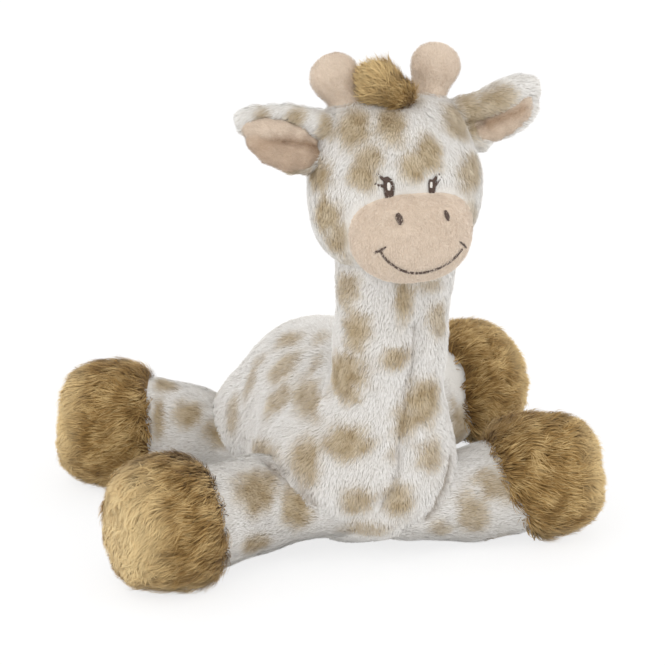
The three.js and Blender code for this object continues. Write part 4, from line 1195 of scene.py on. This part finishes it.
note(tail, "spot", ripple(pointsOf(tail), *tailSet["spots"]) * tailSet["spotShare"] + tailSet["spotLevel"])
groom(tail, tailWay)
groom(tailTuft, tailWay)
tailPile = growPile("tailPile", tail, dict(shortPile, length=2.6, seed=71), plushPile)
tailTuftPile = growPile("tailTuftPile", tailTuft, dict(longPile, perMm2=6, length=10, width=0.55, seed=72), goldPile)
settle(tail, "tail", ("tail_cover",))
settle(tailTuft, "tail", ("tail_tuft",))
settle(tailPile, "tail")
settle(tailTuftPile, "tail")

# Ears
print("ears")
earSet = {
    "root": (30, 2, 26), "rise": {1: 20, -1: 8}, "sweep": 6, "inset": 1.2, "voxel": 1.7, "rounds": 2, "melt": 2.5,
    "shellBack": -3, "shellDeep": (3, 5), "shellBall": 3.2, "blunt": 0.8, "swell": (0.9, 1, 1), "fill": 0.6,
    "liningDrop": 4, "liningBack": -1.5, "liningLess": 3, "liningDeep": (1.6, 2), "liningBall": 2, "lobeMelt": 1.5,
    "liningMelts": (1.0, 0.4), "liningVoxel": 1.4, "folded": {1: 0.2, -1: 0.55}, "foldFront": 2, "foldWidth": 3,
}
# x and y in pixels, radius in mm, and how far towards the eye
earBands = {
    1: [(446, 116, 6.5, -3), (462, 110, 6.6, -1), (478, 106, 6.4, 0), (493, 101, 7.2, 1), (506, 93.5, 7.4, 1),
        (518, 88, 6.6, 0),
        (529, 85.5, 4.9, 0), (533, 91, 3.4, 0)],
    -1: [(346, 124, 6, -3), (330, 127, 7.4, 0), (318, 123, 6.4, 1), (303, 117, 5, 2), (290, 113, 4.4, 2),
         (274, 112.5, 3.9, 1),
         (256, 113.6, 4.2, 0), (244.6, 118.6, 4.4, 0), (243.6, 127, 3, 0)],
}
earRims = {
    1: [(533, 93, 2.6, -1.5), (525, 105.5, 2.2, -2.5), (514, 117.5, 2.1, -3), (502.5, 128, 2.4, -3),
        (491, 135, 2.8, -3),
        (480, 141, 4.8, -3), (469, 139, 7, -3)],
    -1: [(246, 128, 3, -1.5), (255, 139, 2.3, -2.4), (265, 150.5, 2.3, -2.6), (278, 160.5, 2.6, -2.6),
         (292, 167.5, 3, -2), (306, 167, 3.4, -2),
         (318, 158, 4.4, -2), (332, 144, 6, -3)],
}
earShells = {1: ((500, 112), (20, 12.5)), -1: ((290, 137), (20, 13))}
earLobes = {
    1: [[(488, 121.5, 1.4, 1), (500, 116, 2.3, 1), (512, 109.5, 3, 1), (524, 101.5, 3.2, 0.5)],
        [(482, 134, 3.6, -0.5), (494, 130, 4.6, -0.5), (506, 123.5, 4.5, -0.5), (516, 114.5, 3.6, -0.5),
         (523, 106, 2.4, -0.5)]],
    -1: [[(250, 128, 3.9, 0.6), (266, 129.5, 4.9, 1.2), (282, 130.5, 4.7, 1), (298, 134.5, 3.9, 1),
          (312, 142.5, 2.6, 0)],
         [(256.5, 142, 4, 0.6), (270, 151, 5.4, 0.2), (287, 156.5, 6.2, -0.8), (302, 156, 5.8, -0.8),
          (313, 155, 4, -1)]],
}
earFolds = {
    1: ((489, 125), (500, 120), (510, 115.5), (520, 110)),
    -1: ((263, 145), (272, 142), (281, 140), (287, 138.5), (295, 140), (305, 142.5), (316, 149)),
}
earSpots = {
    1: [(472, 116, 13, 17, 20, 0.95), (500, 101, 16, 12, 30, 0.9), (486, 106, 16, 12, 20, 0.9),
        (462, 106, 10, 8, 20, 0.6)],
    -1: [(328, 130, 9, 13, 20, 0.9), (297, 117, 9, 9, 0, 0.9), (264, 115, 9, 6, 0, 0.8), (244, 142, 3, 3, 0, 0.3)],
}


def earFrame(sideSign):
    root = onHead(earSet["root"], sideSign)
    rise, sweep = math.radians(earSet["rise"][sideSign]), math.radians(earSet["sweep"])
    out = np.array((sideSign * math.cos(rise) * math.cos(sweep), math.cos(rise) * math.sin(sweep), math.sin(rise)))
    facing = unit(viewBack - (viewBack @ out) * out)
    return root, out, facing


def runOf(rows, root, facing):  # rods through places in the picture, and balls that fill them
    places = [facedAt(x, y, root, toward, facing) for x, y, _, toward in rows]
    radii = [row[2] for row in rows]
    fields, balls = [], []
    for start, end, first, last in zip(places, places[1:], radii, radii[1:]):
        fields.append(rodField(start, end, first, last))
        for share in (0, 0.33, 0.67, 1):
            balls += beads([start + (end - start) * share], first + (last - first) * share)
    return fields, balls


for name, sideSign in (("left", 1), ("right", -1)):
    root, out, facing = earFrame(sideSign)
    band, bandBalls = runOf(earBands[sideSign], root, facing)
    rim, rimBalls = runOf(earRims[sideSign], root, facing)
    (x, y), (long, wide) = earShells[sideSign]
    shellAxes = (out, unit(np.cross(facing, out)), facing)
    shellCentre = facedAt(x, y, root, earSet["shellBack"], facing)
    shell = roundField(shellCentre, shellAxes, long, wide, *earSet["shellDeep"], earSet["blunt"], earSet["swell"])
    form = joined([shell, *band, *rim], [earSet["melt"]] * (len(band) + len(rim)))
    ear = softForm(name + "_earSkin", bandBalls + rimBalls + [(shellCentre, (wide, long, earSet["shellBall"]),
        shellAxes)],
                   drawnIn(form, earSet["inset"]), earSet["voxel"], plushSkin, earSet["rounds"])
    lobes, lobeBalls = [], []
    for rows in earLobes[sideSign]:
        rods, balls = runOf(rows, root, facing)
        lobes.append(joined(rods, [earSet["lobeMelt"]] * (len(rods) - 1)))
        lobeBalls += balls
    long, wide = long - earSet["liningLess"], wide - earSet["liningLess"]
    backCentre = facedAt(x, y + earSet["liningDrop"], root, earSet["liningBack"], facing)
    backing = roundField(backCentre, shellAxes, long, wide, *earSet["liningDeep"], earSet["blunt"], earSet["swell"])
    liningForm = joined([backing, *lobes], earSet["liningMelts"])
    lining = softForm(name + "_earLining", lobeBalls + [(backCentre, (wide, long, earSet["liningBall"]), shellAxes)],
                      liningForm, earSet["liningVoxel"], velboa, earSet["rounds"])
    groom(ear, out - 0.7 * up, liningForm(pointsOf(ear)) > -1.4, 0.95)
    paintSpots(ear, earSpots[sideSign], 84 + sideSign)
    valley = [facedAt(x, y, root, earSet["foldFront"], facing) for x, y in earFolds[sideSign]]
    liningPoints = pointsOf(lining)
    upper, lower = (lobe(liningPoints) for lobe in lobes)
    # painted shade: the lower lobe, which the upper lobe overlaps, and the valley between them are darkened
    foldShade = earSet["folded"][sideSign] * np.clip(0.5 + (upper - lower) / 4, 0, 1)  # the upper lobe is the paler one
    nearFold = np.exp(-((nearLine(liningPoints, valley) / earSet["foldWidth"]) ** 2))
    note(lining, "folded", foldShade + (1 - foldShade) * nearFold)
    liningPile = velvetOn(name + "_earLiningPile", lining, out, form(liningPoints) > -0.8)
    pile = growPile(name + "_earPile", ear, dict(shortPile, seed=83), plushPile)
    body = name + "_ear"
    settle(ear, body, (name + "_ear_back",))
    settle(lining, body, (name + "_ear_lining",))
    settle(pile, body)
    settle(liningPile, body)

# Body pieces that the pile was grown on
neckBlend = ("torso", "neck", tuple((neckFoot - up * bodySet["blendBelow"]) * mm),
             tuple((neckFoot + up * bodySet["blendAbove"]) * mm))
settle(trunk, neckBlend,
       ("torso_cover", "torso_stuffing", "neck_cover", "neck_stuffing"))
for pile in trunkPiles:
    settle(pile, neckBlend)
settle(head, "head", ("head_cover", "head_stuffing"))
settle(headPile, "head")
settle(muzzle, "head", ("muzzle_cover", "muzzle_stuffing"))
settle(muzzlePile, "head")

# Floor, backdrop and light
print("light")
lightSet = {
    "world": 0.92, "floorHalf": 6, "floorColour": (0.9, 0.9, 0.9, 1), "floorGlow": 1.05, "floorShare": 0.75,
    "aim": (0, 0, 0.1), "lamps": {  # watts, size in m, place in m
        "key": (12.0, 1.6, (-1.1, -1.3, 1.9)), "fill": (9.0, 1.6, (1.7, -0.7, 0.9)),
        "rim": (6.0, 1.6, (-1.9, 0.1, 0.9)),
    },
}
half = lightSet["floorHalf"]
floorMesh = bpy.data.meshes.new("floor")
floorMesh.from_pydata([(-half, -half, 0), (half, -half, 0), (half, half, 0), (-half, half, 0)], [], [(0, 1, 2, 3)])
floor = bpy.data.objects.new("floor", floorMesh)
scene.collection.objects.link(floor)
floorFinish = bpy.data.materials.new("pale floor")
floorTree = treeOn(floorFinish)
toCamera = floorTree.add("ShaderNodeLightPath", None, (), "Is Camera Ray")
floorBase = floorTree.add("ShaderNodeBsdfDiffuse", None, {"Color": lightSet["floorColour"]})
floorGlow = floorTree.add("ShaderNodeEmission", None, {"Color": (1, 1, 1, 1), "Strength": lightSet["floorGlow"]})
floorMix = floorTree.add("ShaderNodeMixShader", None, [toCamera * lightSet["floorShare"], floorBase, floorGlow])
floorTree.add("ShaderNodeOutputMaterial", None, {"Surface": floorMix})
floorMesh.materials.append(floorFinish)
world = bpy.data.worlds.new("studio")
scene.world = world
sky = treeOn(world)
skySeen = sky.add("ShaderNodeLightPath", None, (), "Is Camera Ray")
skyLight, skyShown = (sky.add("ShaderNodeBackground", None, {"Color": (1, 1, 1, 1), "Strength": strength})
                      for strength in (lightSet["world"], 1.0))
sky.add("ShaderNodeOutputWorld", None, {"Surface": sky.add("ShaderNodeMixShader", None,
                                                           [skySeen, skyLight, skyShown])})
for name, (energy, size, place) in lightSet["lamps"].items():
    lamp = bpy.data.lights.new(name, "AREA")
    lamp.energy, lamp.size = energy, size
    lampObject = bpy.data.objects.new(name, lamp)
    lampObject.location = place
    lampObject.rotation_mode = "QUATERNION"
    lampObject.rotation_quaternion = (Vector(lightSet["aim"]) - lampObject.location).to_track_quat("-Z", "Y")
    scene.collection.objects.link(lampObject)
